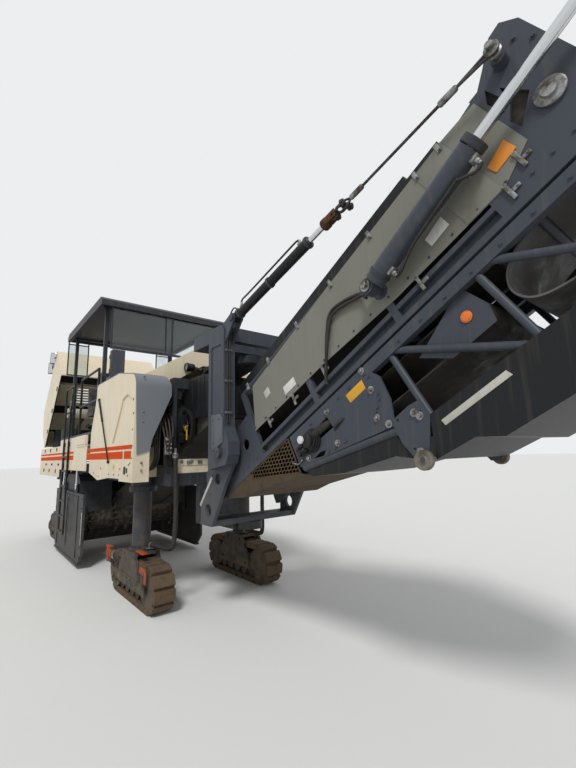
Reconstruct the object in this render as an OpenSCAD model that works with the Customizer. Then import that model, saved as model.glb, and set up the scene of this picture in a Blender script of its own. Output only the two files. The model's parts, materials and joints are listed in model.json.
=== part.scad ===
// Cold planer milling machine of the 2 m class, standing raised on its four track units.
// +X is the direction of travel, +Y the machine's left side, Z = 0 the ground.
// Lengths along X are measured from the axis of the front lifting columns.

/* [Tracks] */
// Length of a track unit over its shoes
track_l = 1750; // [1500:10:2000]
// Height of a track unit over its shoes
track_h = 550; // [450:10:620]
// Width of the track shoes
track_w = 260; // [220:5:300]
// Thickness of a track shoe
shoe_t = 45; // [25:1:60]
// Number of shoes on each track
shoe_count = 24; // [20:1:28]
// Distance of each track's middle from the machine's middle plane
track_y = 807; // [780:1:860]

/* [Lifting columns] */
// Distance between the front and the rear lifting columns
wheelbase = 5450; // [5200:10:5700]
// Diameter of the inner column tube
leg_d = 240; // [200:5:260]
// Outer diameter of the fixed column sleeve
sleeve_d = 320; // [300:5:340]
// Height of the inner tube's top end
leg_top = 1850; // [1750:10:1900]
// Height of the sleeve's lower end
sleeve_z0 = 1400; // [1380:5:1460]
// Height of the sleeve's upper end
sleeve_z1 = 2600; // [2580:5:2640]

/* [Body] */
// Height of the frame beams' lower edge
frame_z0 = 1480; // [1460:5:1500]
// Depth of the frame beams
frame_h = 260; // [220:5:280]
// Distance of the frame beams' outer faces from the middle plane
frame_y = 700; // [690:5:710]
// Half of the width over the body panels
body_y = 1200; // [1180:5:1260]
// Height of the lower edge of the body panels
body_z0 = 1590; // [1560:5:1600]
// Front end of the body
front_x = 750; // [720:5:800]
// Rear end of the body
rear_x = -6650; // [-6800:10:-6600]
// Height of the front body's top along its sides
front_z = 3030; // [3000:5:3040]
// Height of the middle ridge of the nose
ridge_z = 3480; // [3400:10:3500]
// Radius of the nose's upper corner
nose_r = 180; // [140:5:200]
// Thickness of the sheet panels
sheet = 12; // [6:1:20]

/* [Platform] */
// Height of the operator's deck
deck_z = 2300; // [2250:10:2350]
// Front end of the operator's platform
deck_x1 = -1200; // [-1260:10:-1160]
// Rear end of the operator's platform
deck_x0 = -3980; // [-4020:10:-3900]
// Height of the hand rails
rail_z = 3330; // [3200:10:3360]

/* [Canopy] */
// Height of the top of the roof
roof_z = 4580; // [4450:10:4650]
// Thickness of the roof slab
roof_t = 150; // [100:5:180]
// Half of the roof's width
roof_y = 1207; // [1100:5:1240]
// Front edge of the roof
roof_x1 = -1160; // [-1260:10:-1100]
// Rear edge of the roof
roof_x0 = -3960; // [-4000:10:-3800]

/* [Engine hood] */
// How far the hood stands open
hood_open = 45; // [0:1:46]
// Length of the hood
hood_l = 2350; // [2300:5:2360]
// Height of the hood's walls
hood_h = 1080; // [1000:10:1100]
// Height of the hood's hinge pins
hood_hinge_z = 2180; // [2160:5:2200]

/* [Milling drum] */
// Position of the drum axis along the machine
drum_x = -3300; // [-3400:10:-3250]
// Height of the drum axis
drum_z = 890; // [850:5:950]
// Radius over the tips of the picks
drum_r = 510; // [480:5:520]
// Milling width
drum_w = 2000; // [1900:10:2020]
// Number of picks round the drum
pick_count = 96; // [40:2:120]

/* [Side plates] */
// Front end of a side plate
side_x1 = -2020; // [-2100:10:-2000]
// Rear end of a side plate
side_x0 = -4500; // [-4540:10:-4400]
// Height of a side plate's skid above the ground
side_z0 = 100; // [20:5:160]
// Height of a side plate's top
side_z1 = 1250; // [1150:10:1300]

/* [Gantry] */
// Position of the slewing axis along the machine
slew_x = 1450; // [1430:5:1500]
// Half of the gantry's width over its columns
gantry_y = 700; // [690:5:760]
// Height of the gantry's top beam
gantry_z1 = 3280; // [3260:5:3300]
// Front face of the gantry columns
gantry_x1 = 2040; // [2000:5:2060]
// Rear face of the gantry columns
gantry_x0 = 1700; // [1690:5:1720]
// Width of each gantry column
column_w = 140; // [100:5:150]

/* [Conveyor] */
// Position of the luffing pin along the machine
luff_x = 1950; // [1930:5:1990]
// Height of the luffing pin
luff_z = 1880; // [1850:5:1920]
// Slope of the conveyor
luff = 28.5; // [22:0.5:32]
// Half of the width over the conveyor's side panels
conv_y = 500; // [470:5:510]
// Width of the belt
belt_w = 800; // [650:10:820]
// Length of the inner section from the luffing pin to its end
inner_s1 = 3940; // [3700:10:4100]
// Length of the inner section's foot behind the luffing pin
inner_s0 = 790; // [700:10:820]
// Height of the inner section's top cover above the pin
inner_h1 = 610; // [560:5:660]
// Depth of the inner section's bottom chord below the pin
inner_h0 = 320; // [300:2:330]
// Height of the bottom chord
chord_h = 150; // [120:5:160]
// Distance from the luffing pin to the fold hinge
fold_s = 4140; // [3900:10:4300]
// Distance from the luffing pin to the folded section's head
outer_s0 = 870; // [800:10:950]
// Depth of the folded section's lower tubes below the pin
outer_h0 = 960; // [900:10:1000]
// Depth of the folded section's belly cover below the pin
belly_h = 1310; // [1250:10:1330]

/* [Cylinders] */
// Distance of the luffing stays from the middle plane
stay_y = 630; // [625:1:635]
// Distance of the fold cylinders from the middle plane
fold_y = 625; // [615:5:640]
// Outer diameter of the luffing cylinder's barrel
luff_d = 95; // [80:5:100]
// Outer diameter of the fold cylinder's barrel
fold_d = 150; // [110:5:150]

/* [Hidden] */
$fn = 48;
gap = 0.3;
leg_x = [0, -wheelbase];
// The part is centred over its own length
tip_x = luff_x + (fold_s - 20) * cos(luff) + belly_h * sin(luff);
hood_x = rear_x + 300;
hood_back = 600;
hood_slant = 300;
back_x = min(rear_x, hood_x + hood_slant * cos(hood_open) - hood_h * sin(hood_open));
shift_x = -(back_x + tip_x) / 2;
half_run = (track_l - track_h) / 2;
belt_r = track_h / 2 - shoe_t;
loop_len = 4 * half_run + 2 * PI * belt_r;
body_top = hood_hinge_z - 40;
stay_s = 3737;
stay_h = 508;
eye_s0 = 2343;
eye_h0 = 15;
eye_s1 = 4420;
eye_h1 = 295;
stay_x0 = gantry_x1 + 140;
stay_z0 = gantry_z1 + 30;
stay_x1 = luff_x + stay_s * cos(luff) - stay_h * sin(luff);
stay_z1 = luff_z + stay_s * sin(luff) + stay_h * cos(luff);
stay_a = atan2(stay_z1 - stay_z0, stay_x1 - stay_x0);
stay_l = norm([stay_z1 - stay_z0, stay_x1 - stay_x0]);
outer_y = conv_y - 5;
fold_h = -inner_h0 - 5;
lever_y = conv_y + 33;
housing_y = drum_w / 2 + 50;
plate_y0 = housing_y + 35;
plate_y1 = plate_y0 + 40;
tank_y = frame_y + gap;
strip_t = 14;
strip_slope = 0.25;
nose_z = front_z - nose_r - 100;
roof_post_y = 1050;
posts_x = [roof_x0 + 200, roof_x1 - 250];
ladder_y = max(body_y + 8, plate_y1 + 30);
cool_x = min(rear_x + 400, leg_x[1] - sleeve_d / 2 - 260);
fold_a = atan2(eye_h1 - eye_h0, eye_s1 - eye_s0);
fold_l = norm([eye_h1 - eye_h0, eye_s1 - eye_s0]);

// A block between two corners
module block(x0, x1, y0, y1, z0, z1)
    translate([x0, y0, z0]) cube([x1 - x0, y1 - y0, z1 - z0]);

// The same block on both sides of the middle plane
module block_pair(x0, x1, y0, y1, z0, z1)
    for (side = [-1, 1])
        block(x0, x1, side > 0 ? y0 : -y1, side > 0 ? y1 : -y0, z0, z1);

// A plate drawn in the X-Z plane, between two distances along Y
module side_shape(points, y0, y1)
    translate([0, y1, 0]) rotate([90, 0, 0]) linear_extrude(y1 - y0) polygon(points);

module side_shape_pair(points, y0, y1) {
    side_shape(points, y0, y1);
    side_shape(points, -y1, -y0);
}

// A round bar between two points
module bar(p, q, r) {
    d = q - p;
    l = norm(d);
    translate(p) rotate([0, acos(d[2] / l), atan2(d[1], d[0])]) cylinder(r = r, h = l);
}

// A pin or boss on one side of the machine, between two distances from its middle plane
module stub(side, x, z, r, y0, y1)
    cross_bar(x, z, r, side > 0 ? y0 : -y1, side > 0 ? y1 : -y0);

// Height of the nose's sloping top at a distance from the middle plane, below the grey strip
function slope_z(y) = front_z - strip_t + (body_y - y) * strip_slope;

// A plate drawn in the Y-Z plane on one side of the machine, between two places along X
module end_shape(points, x0, x1, side = 1)
    translate([x0, 0, 0]) rotate([90, 0, 90]) linear_extrude(x1 - x0)
        polygon([for (p = points) [side * p[0], p[1]]]);

// Side outline of the nose with its rounded upper corner, smaller by d
module nose_2d(d) {
    r = nose_r - d;
    x1 = front_x - nose_r + r * cos(80);
    z1 = nose_z + r * sin(80);
    union() {
        polygon([[deck_x1 - 200, 1000], [front_x - d, 1000], [front_x - d, nose_z], [front_x - nose_r,
            nose_z],
            [x1, z1], [-620, z1 + (x1 + 620) * tan(10)], [-640, 3400], [deck_x1 - 200, 3400]]);
        translate([front_x - nose_r, nose_z]) circle(r = r);
    }
}

module nose_side(d, y0, y1)
    translate([0, y1, 0]) rotate([90, 0, 0]) linear_extrude(y1 - y0) nose_2d(d);

// A bar that lies across the machine
module cross_bar(x, z, r, y0, y1)
    translate([x, y1, z]) rotate([90, 0, 0]) cylinder(r = r, h = y1 - y0);

// The whole part is moved so that its box is centred on the origin
module place() translate([shift_x, 0, 0]) children();

// The conveyor's own frame: X runs up along the belt, the origin is the luffing pin
module conveyor() place() translate([luff_x, 0, luff_z]) rotate([0, -luff, 0]) children();

// A place along the track's loop, as x, z and the angle of its outward side
function loop_point(u) =
    u < 2 * half_run ? [u - half_run, -belt_r, 0]
    : u < 2 * half_run + PI * belt_r
        ? let (a = (u - 2 * half_run) / belt_r * 180 / PI) [half_run + belt_r * sin(a), -belt_r * cos(a), a]
    : u < 4 * half_run + PI * belt_r
        ? [half_run - (u - 2 * half_run - PI * belt_r), belt_r, 180]
    : let (a = 180 + (u - 4 * half_run - PI * belt_r) / belt_r * 180 / PI)
        [-half_run + belt_r * sin(a), -belt_r * cos(a), a];

module stadium(r) {
    translate([-half_run, -r]) square([2 * half_run, 2 * r]);
    for (side = [-1, 1]) translate([side * half_run, 0]) circle(r = r);
}

// Rubber belt and shoes of one track, in its outline
module track_loop(x, y) {
    shoe_l = loop_len / shoe_count - 22;
    place() translate([x, y + track_w / 2, track_h / 2]) rotate([90, 0, 0]) linear_extrude(track_w) {
        difference() {
            stadium(belt_r);
            stadium(belt_r - 30);
        }
        intersection() {
            stadium(track_h / 2);
            for (i = [0 : shoe_count - 1]) {
                p = loop_point((i + 0.5) * loop_len / shoe_count);
                translate([p[0], p[1]]) rotate(p[2]) translate([-shoe_l / 2, -shoe_t - 10])
                    square([shoe_l, shoe_t + 18]);
            }
        }
    }
}

// Wheels, beam and yoke that carry one track
module track_frame(x, y) {
    side = sign(y);
    wheel_r = belt_r - 30 - gap;
    yoke_y = track_w / 2 + 5;
    mid = track_h / 2;
    place() translate([x, y, 0]) {
        for (end = [-1, 1])
            translate([end * half_run, track_w / 2, mid]) rotate([90, 0, 0]) cylinder(r = wheel_r,
                h = track_w);
        block(-half_run, half_run, -90, 90, mid - 110, mid + 110);
        for (i = [-2 : 2])
            translate([i * 200, 100, mid - wheel_r + 75]) rotate([90, 0, 0]) cylinder(r = 75, h = 200);
        for (s = [-1, 1]) {
            y0 = s > 0 ? yoke_y : -yoke_y - 30;
            block(-330, 330, s > 0 ? 90 : -yoke_y, s > 0 ? yoke_y : -90, mid - 70, mid + 70);
            difference() {
                side_shape([[-420, mid - 80], [420, mid - 80], [420, mid + 60], [230, 640], [-230, 640],
                    [-420, mid + 60]], y0, y0 + 30);
                for (p = [[-330, mid - 10], [330, mid - 10], [-170, 580], [170, 580]])
                    translate([p[0], y0 - 1, p[1]]) rotate([-90, 0, 0]) cylinder(r = 22, h = 32);
            }
        }
        // Top plate with its round flange, and the cover of the outer side
        block(-230, 230, -yoke_y, yoke_y, 600, 640);
        block(-half_run - 40, half_run + 40, side > 0 ? yoke_y + 29 : -yoke_y - 41,
            side > 0 ? yoke_y + 41 : -yoke_y - 29, mid - 60, mid + 60);
        // Hydraulic drive of the sprocket
        translate([-half_run, side * (track_w / 2), mid]) rotate([-side * 90, 0, 0]) {
            cylinder(r = 120, h = 34);
            cylinder(r = 70, h = 60);
        }
    }
}

// Inner tube of a lifting column with its foot flange
module lifting_column(x, y) {
    place() translate([x, y, 0]) {
        translate([0, 0, 640 + gap]) cylinder(d = leg_d, h = leg_top - 640 - gap);
        translate([0, 0, 640 + gap]) cylinder(d = leg_d + 60, h = 35);
        translate([0, 0, 640 + gap]) cylinder(d = leg_d + 16, h = 50);
    }
}

module main_frame() {
    color("#3b3f46") place() {
        // Long beams beside the feed conveyor
        difference() {
            block_pair(-wheelbase - 300, 560, frame_y - 120, frame_y, frame_z0, frame_z0 + frame_h);
            block(drum_x - 640, drum_x + 620, -800, 800, frame_z0 - 1, frame_z0 + 90 + gap);
            for (x = leg_x, side = [-1, 1])
                translate([x, side * track_y, 0]) cylinder(d = sleeve_d + 2 * gap, h = 3000);
        }
        // Front cross beam, and the brackets that hold the feed conveyor
        block(560, 700, -frame_y, frame_y, frame_z0, frame_z0 + 160);
        block_pair(-1100, -900, 440 + gap, frame_y - 115, frame_z0 + 20, frame_z0 + frame_h - 20);
        // Cross members behind the drum and under the engine
        for (x = [-wheelbase - 300, -wheelbase + 420])
            block(x, x + 120, -frame_y + 100, frame_y - 100, frame_z0 + 40, frame_z0 + frame_h);
    }
}

// Fixed tubes of the lifting columns, with a collar at each end
module column_sleeves() {
    color("#3b3f46") place()
        for (x = leg_x, side = [-1, 1]) translate([x, side * track_y, 0]) difference() {
            union() {
                translate([0, 0, sleeve_z0]) cylinder(d = sleeve_d, h = sleeve_z1 - sleeve_z0);
                translate([0, 0, sleeve_z0]) cylinder(d = sleeve_d + 40, h = 70);
            }
            translate([0, 0, sleeve_z0 - 10]) cylinder(d = leg_d + 2, h = sleeve_z1 - sleeve_z0 + 20);
        }
}

// Lower and upper carriers of the slewing bearings, the upper one on a portal
module slew_bracket() {
    color("#3b3f46") place() {
        block(600, 720, -300, 300, 980, frame_z0 - gap);
        difference() {
            side_shape([[600, 980], [slew_x - 60, 980], [slew_x - 60, 1070], [720, 1070], [600, 1300]],
                -200, 200);
            translate([slew_x, 0, 900]) cylinder(r = 120, h = 300);
        }
        bearing_ring(980, 90);
        block_pair(560, 700, frame_y - 60, frame_y - 10, frame_z0 + 160 + gap, 2900);
        block(560, 700, -frame_y + 10, frame_y - 10, 2760, 2900);
        for (side = [-1, 1])
            end_shape([[frame_y - 60, 2761], [frame_y - 200, 2761], [frame_y - 60, 2600]], 600, 660, side);
        difference() {
            side_shape([[560, 2899], [700, 2899], [slew_x - 60, 3010], [slew_x - 60, 3110], [560, 3110]],
                -200, 200);
            side_shape([[640, 2960], [700, 2960], [slew_x - 260, 3035], [slew_x - 260, 3111], [640, 3111]],
                -160, 160);
            translate([slew_x, 0, 2900]) cylinder(r = 120, h = 300);
        }
        bearing_ring(3010, 100);
    }
}

module bearing_ring(z, h)
    translate([slew_x, 0, z]) difference() {
        cylinder(r = 150, h = h);
        translate([0, 0, -1]) cylinder(r = 61, h = h + 2);
        for (i = [0 : 7]) rotate(i * 45 + 22.5) translate([105, 0, h - 8]) cylinder(r = 14, h = 9);
    }

module drum_housing() {
    color("#4a4d52") place() difference() {
        union() {
            for (x = [-560, 460])
                block_pair(drum_x + x, drum_x + x + 100, housing_y - 1, plate_y0 - gap, 720, 1400);
            side_shape([[drum_x - 620, 700], [drum_x - 620, 1440], [drum_x - 450, frame_z0 + 90],
                [drum_x + 450, frame_z0 + 90], [drum_x + 600, 1440], [drum_x + 600, 700]], -housing_y,
                    housing_y);
        }
        cross_bar(drum_x, drum_z, drum_r + 40, -drum_w / 2 - 12, drum_w / 2 + 12);
        block(drum_x - 640, drum_x, -drum_w / 2 - 12, drum_w / 2 + 12, 600, drum_z + 300);
        block(drum_x - 10, drum_x + 640, -470, 470, 600, 1420);
        block(drum_x + 200, drum_x + 640, -drum_w / 2 - 12, drum_w / 2 + 12, 600, drum_z);
        cross_bar(drum_x, drum_z, 110 + gap, -housing_y - 50, housing_y + 50);
    }
}

module front_body() {
    front = [[1000, body_z0 - 30], [1000, 1940], [980, 2070], [745, 2650], [745, 2790], [790, 2900],
        [790, 3400], [body_y, 3400], [body_y, body_z0 - 30]];
    slope = [[tank_y, 1000], [body_y, 1000], [body_y, slope_z(body_y)], [tank_y, slope_z(tank_y)]];
    skin = [[-1600, 1680], [-870, 1540], [-290, body_z0], [590, body_z0], [front_x, 1710], [front_x, 3400],
        [-900, 3400], [-1070, front_z - strip_t], [-1230, 2640], [-1450, 2160], [-1640, 2090]];
    color("#e6e1d3") place() {
        for (side = [-1, 1]) difference() {
            intersection() {
                union() {
                    block(deck_x1, 200, side > 0 ? tank_y : -body_y + sheet + gap,
                        side > 0 ? body_y - sheet - gap : -tank_y, body_z0, 3400);
                    end_shape(front, 199, front_x, side);
                    side_shape(skin, side > 0 ? body_y - sheet - 1 : -body_y,
                        side > 0 ? body_y : -body_y + sheet + 1);
                }
                nose_side(strip_t + gap, -body_y - 1, body_y + 1);
                end_shape(slope, -2000, 1000, side);
            }
            translate([0, side * track_y, 1000]) cylinder(d = sleeve_d + 2 * gap,
                h = sleeve_z1 - 1000 + gap);
            // Pressed recess of the side panel
            side_shape([[-180, 2060], [130, 2480], [230, 2640], [430, 2680], [600, 2600], [690, 2440],
                [520, 2480],
                [400, 2500], [160, 2290], [20, 2060]], side > 0 ? body_y - 20 : -body_y - 1,
                side > 0 ? body_y + 1 : -body_y + 20);
        }
        // Cross beam of the front bay
        block(560, 700, -frame_y + 60 + gap, frame_y - 60 - gap, frame_z0 + frame_h,
            frame_z0 + frame_h + 80);
        block(570, 690, -frame_y + 90, frame_y - 90, frame_z0 + 160 + gap, frame_z0 + frame_h + 1);
    }
}

// Middle part of the nose, from the platform to the front bay
module nose_hood() {
    edge = slope_z(tank_y);
    color("#e6e1d3") place() difference() {
        end_shape([[-frame_y, 2760], [-frame_y, edge], [-150, ridge_z], [150, ridge_z], [frame_y, edge],
            [frame_y, 2760]], deck_x1, 400);
        end_shape([[-frame_y + 60, 2700], [-frame_y + 60, 2860], [-120, 3180], [120, 3180], [frame_y - 60,
            2860],
            [frame_y - 60, 2700]], -700, 401);
    }
}

// Black hood over the feed conveyor's head
module feed_hood() {
    top = 2760 - gap;
    color("#1d1e20") place() difference() {
        side_shape([[300, 2330], [300, 2500], [545, top], [700 + 2, top], [760, 2890], [1180, 2890], [1420,
            2640],
            [1420, 2350]], -480, 480);
        side_shape([[299, 2300], [299, 2480], [545, top - 14], [708, top - 14], [768, 2878], [1175, 2878],
            [1408, 2632], [1408, 2300]], -468, 468);
    }
}

// Upright box on the right side of the nose
module side_box() {
    slope = [[body_y, 1000], [body_y, slope_z(body_y) + strip_t + gap], [500, slope_z(500) + strip_t + gap],
        [500, 1000]];
    color("#4b5058") place() difference() {
        union() {
            block(-900, -750, -1100, -910, front_z + 60, front_z + 530);
            block(-930, -720, -1130, -880, front_z + 20, front_z + 90);
            block(-880, -770, -1101, -909, front_z + 10, front_z + 62);
        }
        end_shape(slope, -1000, -600, -1);
        block(-749.9, -740, -1080, -930, front_z + 140, front_z + 150);
    }
}

module middle_body() {
    color("#e6e1d3") place() {
        block_pair(rear_x + 2650 + gap, -1640 - gap, body_y - sheet, body_y, body_z0 + 70, deck_z - 40);
        block_pair(-2360, -1660, body_y - 1, body_y + 25, deck_z - 190, deck_z - 40);
        block_pair(-2340, -1680, body_y - 1, body_y + 12, deck_z - 230, deck_z - 189);
    }
}

module rear_body() {
    color("#e6e1d3") place() {
        difference() {
            union() {
                block_pair(rear_x + 60, rear_x + 2650, body_y - sheet, body_y, frame_z0 + 20, body_top);
                block(rear_x, rear_x + 60, -body_y, body_y, frame_z0 + 20, body_top);
            }
            // Door joints of the side panels and the slots of the rear grille
            for (x = [rear_x + 500, rear_x + 1300, rear_x + 2100]) for (side = [-1, 1])
                block(x, x + 10, side > 0 ? body_y - 4 : -body_y - 1, side > 0 ? body_y + 1 : -body_y + 4,
                    frame_z0 + 60, body_top - 40);
            for (z = [frame_z0 + 140 : 60 : body_top - 120])
                block(rear_x - 1, rear_x + 61, -800, 800, z, z + 30);
        }
        for (y = [560, 705])
            side_shape_pair([[hood_x - 35, body_top - 1], [hood_x + 35, body_top - 1], [hood_x + 30,
                hood_hinge_z + 30],
                [hood_x - 30, hood_hinge_z + 30]], y, y + 35);
        for (side = [-1, 1]) stub(side, hood_x, hood_hinge_z, 15, 580, 720);
        difference() {
            block(rear_x + 59, rear_x + 2650, -body_y + sheet - 1, body_y - sheet + 1, body_top - 20,
                body_top);
            for (side = [-1, 1])
                translate([leg_x[1], side * track_y, 2000]) cylinder(d = sleeve_d + 2 * gap, h = 300);
        }
    }
}

module stripes() {
    color("#d8482c") place() {
        // Upper thin and lower thick stripe, on the front and on the rear half
        for (s = [[-1600, 680, 1965, 2015], [-1600, 330, 1845, 1940], [390, 660, 1845, 1940],
                  [rear_x + 40, -2650, 1965, 2000], [rear_x + 40, -2650, 1850, 1930]])
            block_pair(s[0], s[1], body_y + gap, body_y + 4, s[2], s[3]);
    }
}

module fairings() {
    front = [[1160, 1890], [1000, 1940], [980, 2070], [735, 2650], [740, 2790], [780, 2900], [780, 3400],
        [body_y, 3400], [body_y, 2810]];
    top = [[700, 1000], [body_y + 1, 1000], [body_y + 1, slope_z(body_y + 1) + strip_t],
        [700, slope_z(700) + strip_t]];
    under = [[700, 1000], [body_y + 1, 1000], [body_y + 1, slope_z(body_y + 1) + gap], [700,
        slope_z(700) + gap]];
    color("#a8abad") place()
        for (side = [-1, 1]) difference() {
            intersection() {
                nose_side(0, -body_y - 1, body_y + 1);
                end_shape(front, deck_x1 + 30, front_x + 1, side);
                end_shape(top, -2000, 1000, side);
            }
            intersection() {
                nose_side(strip_t, -body_y - 2, body_y + 2);
                end_shape(under, -2000, 1000, side);
            }
        }
}

module platform() {
    color("#3b3f46") place() {
        block(deck_x0, deck_x1 - 1, -body_y + sheet + 1 + gap, body_y - sheet - 1 - gap, deck_z - 40 + gap,
            deck_z);
        // Control stands with their sloping panels, and the seats
        for (side = [-1, 1]) translate([deck_x1 - 500, side * 800, deck_z - 1]) {
            side_shape([[-150, 0], [150, 0], [150, 1000], [90, 1040], [-150, 900]], -250, 250);
            translate([-675, 0, 0]) {
                cylinder(r = 60, h = 350);
                block(-225, 225, -220, 220, 349, 430);
                side_shape([[-225, 429], [-160, 429], [-230, 900], [-290, 890]], -210, 210);
            }
        }
    }
}

module railings() {
    color("#222428") place() {
        for (side = [-1, 1]) {
            y = side * (body_y - 40);
            for (x = [deck_x0 + 60, deck_x0 + 900, deck_x0 + 1500, deck_x1 - 60])
                bar([x, y, deck_z + gap], [x, y, rail_z], 20);
            for (z = [rail_z, (rail_z + deck_z) / 2]) {
                bar([deck_x0 + 60, y, z], [deck_x0 + 900, y, z], 20);
                bar([deck_x0 + 1500, y, z], [deck_x1 - 60, y, z], 20);
            }
        }
    }
}

// Square tubes that take the canopy's posts
module post_sleeves() {
    color("#3b3f46") place()
        for (x = posts_x, side = [-1, 1])
            translate([x, side * roof_post_y, deck_z + gap]) difference() {
                union() {
                    block(-42, 42, -42, 42, 0, rail_z - deck_z - 100);
                    block(-70, 70, -70, 70, 0, 14);
                }
                block(-30 - gap, 30 + gap, -30 - gap, 30 + gap, -1, rail_z - deck_z);
            }
}

// Steps that hang from the body beside the rear tracks
module ladder() {
    color("#222428") place() {
        for (x = [rear_x + 3150, rear_x + 3600]) {
            block_pair(x, x + 40, ladder_y, ladder_y + 32, 480, 2200);
            for (z = [1690, 2110]) block_pair(x, x + 40, body_y + gap, ladder_y + 1, z, z + 80);
        }
        for (z = [500 : 280 : 1900])
            block_pair(rear_x + 3170, rear_x + 3620, ladder_y, ladder_y + 32, z, z + 30);
        for (x = [rear_x + 3155, rear_x + 3605], side = [-1, 1]) {
            bar([x + 15, side * (ladder_y + 17), 2190], [x + 15, side * (ladder_y + 17), 2900], 15);
        }
    }
}

module engine() {
    base = body_top + gap;
    color("#55585c") place() {
        // Engine block with its heads and sump, then the radiator pack with its fan ring
        block(rear_x + 700, rear_x + 2250, -330, 330, base, base + 420);
        block(rear_x + 760, rear_x + 2200, -210, 210, base + 419, base + 620);
        for (i = [0 : 5])
            block(rear_x + 800 + i * 235, rear_x + 985 + i * 235, -150, 150, base + 619, base + 680);
        for (side = [-1, 1])
            cross_bar(rear_x + 1400, base + 220, 150, side > 0 ? 320 : -520, side > 0 ? 520 : -320);
        block(cool_x, cool_x + 240, -1000, 1000, base, base + 480);
        translate([cool_x + 239, 0, base + 240]) rotate([0, 90, 0]) difference() {
            cylinder(r = 235, h = 50);
            translate([0, 0, 10]) cylinder(r = 215, h = 50);
        }
        translate([cool_x + 240, 0, base + 240]) rotate([0, 90, 0]) cylinder(r = 60,
            h = rear_x + 465 - cool_x);
    }
}

module muffler() {
    z = body_top + 780;
    color("#b9b2a2") place() {
        cross_bar(rear_x + 2000, z, 110, -1000, -280);
        for (y = [-900, -400])
            block(rear_x + 1960, rear_x + 2040, y, y + 40, z - 360, z - 90);
        block(rear_x + 1900, rear_x + 2100, -960, -332, body_top + gap, body_top + 60);
        for (y = [-900, -400])
            block(rear_x + 1960, rear_x + 2040, y, y + 40, body_top + 59, z - 359);
        cross_bar(rear_x + 2000, z, 60, -281, -215);
        translate([rear_x + 2000, -905, z]) cylinder(r = 55, h = 150);
    }
}

module blower() {
    color("#1d1e20") place() {
        // Fan housing on the right of the feed conveyor, with its hub, spokes and outlet
        difference() {
            cross_bar(250, 2260, 430, -620, -481);
            cross_bar(250, 2260, 395, -621, -497);
        }
        cross_bar(250, 2260, 90, -600, -496);
        for (a = [0 : 60 : 300])
            translate([250, -532, 2260]) rotate([0, a, 0]) block(80, 400, 0, 36, -18, 18);
        block(210, 290, -615, -585, frame_z0 + frame_h + gap, 1840);
        side_shape([[560, 2130], [700, 2040], [720, 2120], [600, 2240]], -600, -481);
    }
}

module feed_conveyor() {
    color("#2a2b2e") place() {
        x0 = -2500;
        x1 = 1300;
        z0 = 1060;
        z1 = 2420;
        l = norm([z1 - z0, x1 - x0]);
        translate([x0, 0, z0]) rotate([0, -atan2(z1 - z0, x1 - x0), 0]) {
            block_pair(0, l, belt_w / 2 + 15, belt_w / 2 + 40, -140, 140);
            block(0, l, -belt_w / 2, belt_w / 2, -120, -105);
            block(0, l, -belt_w / 2, belt_w / 2, 90, 105);
            for (s = [40, l])
                cross_bar(s, 0, 104, -belt_w / 2 - 20, belt_w / 2 + 20);
        }
    }
}

module lamps() {
    color("#16171a") place()
        for (side = [-1, 1]) {
            stub(side, 465, 3120, 55, 300, 400);
            stub(side, 465, 3120, 62, 385, 402);
            bar([465, side * 301, 3120], [600, side * 226, 3060], 25);
            block(400 + gap, 440, side > 0 ? 330 : -370, side > 0 ? 370 : -330, 3100, 3140);
        }
}

module milling_drum() {
    color("#5b5650") place() translate([drum_x, 0, drum_z]) rotate([90, 0, 0]) {
        cylinder(r = drum_r - 100, h = drum_w - 60, center = true);
        cylinder(r = 110, h = drum_w + 100, center = true);
        // Pick holders in two spirals that carry the milled material to the middle
        for (i = [0 : pick_count - 1]) {
            side = i % 2 * 2 - 1;
            along = (floor(i / 2) + 0.5) / (pick_count / 2);
            rotate(along * 720 * side + (side > 0 ? 0 : 180))
                translate([0, drum_r - 115, side * along * (drum_w / 2 - 60)]) {
                    rotate([-90, 0, 0]) cylinder(r = 26, h = 115, $fn = 6);
                    translate([-45, 0, -32]) cube([90, 60, 64]);
                }
        }
    }
}

module side_plate(side) {
    y0 = side > 0 ? plate_y0 : -plate_y1;
    y1 = side > 0 ? plate_y1 : -plate_y0;
    points = [[side_x0, side_z0 + 180], [side_x0 + 180, side_z0], [side_x1 - 180, side_z0],
        [side_x1, side_z0 + 180], [side_x1, side_z1], [side_x0, side_z1]];
    color("#3b3f46") place() {
        side_shape(points, y0, y1);
        block(side_x0 + 180, side_x1 - 180, y0 - 20, y1 + 20, side_z0 - 30, side_z0);
        // Edge ribs, skid nose and the lifting eyes
        for (x = [side_x0 + 300, side_x1 - 420])
            block(x, x + 60, side > 0 ? y1 - 1 : y0 - 15, side > 0 ? y1 + 15 : y0 + 1, side_z0 + 60,
                side_z1 - 40);
        for (x = [side_x0 + 600, side_x1 - 700]) difference() {
            side_shape([[x - 90, side_z1 - 1], [x + 90, side_z1 - 1], [x + 40, side_z1 + 140], [x - 40,
                side_z1 + 140]],
                y0 + 10, y1 - 10);
            cross_bar(x, side_z1 + 95, 20, y0, y1);
        }
    }
}

module scraper() {
    y = drum_w / 2 + 40;
    color("#3b3f46") place() {
        block(drum_x - 680, drum_x - 620 - gap, -y, y, 160, 970);
        block(drum_x - 720, drum_x - 679, -y, y, 900, 960);
        for (p = [-0.75, -0.25, 0.25, 0.75])
            block(drum_x - 720, drum_x - 679, p * y - 15, p * y + 15, 200, 901);
    }
}

module hood() {
    color("#e6e1d3") place() translate([hood_x, 0, hood_hinge_z]) rotate([0, -hood_open, 0]) {
        hood_shell();
        for (side = [-1, 1]) difference() {
            union() {
                stub(side, 0, 0, 26, 600, 700);
                side_shape([[-30, 10], [20, 10], [-5, 90], [-38, 90]], side > 0 ? 600 : -700,
                    side > 0 ? 700 : -600);
            }
            stub(side, 0, 0, 15 + gap, 590, 710);
        }
    }
}

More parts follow.
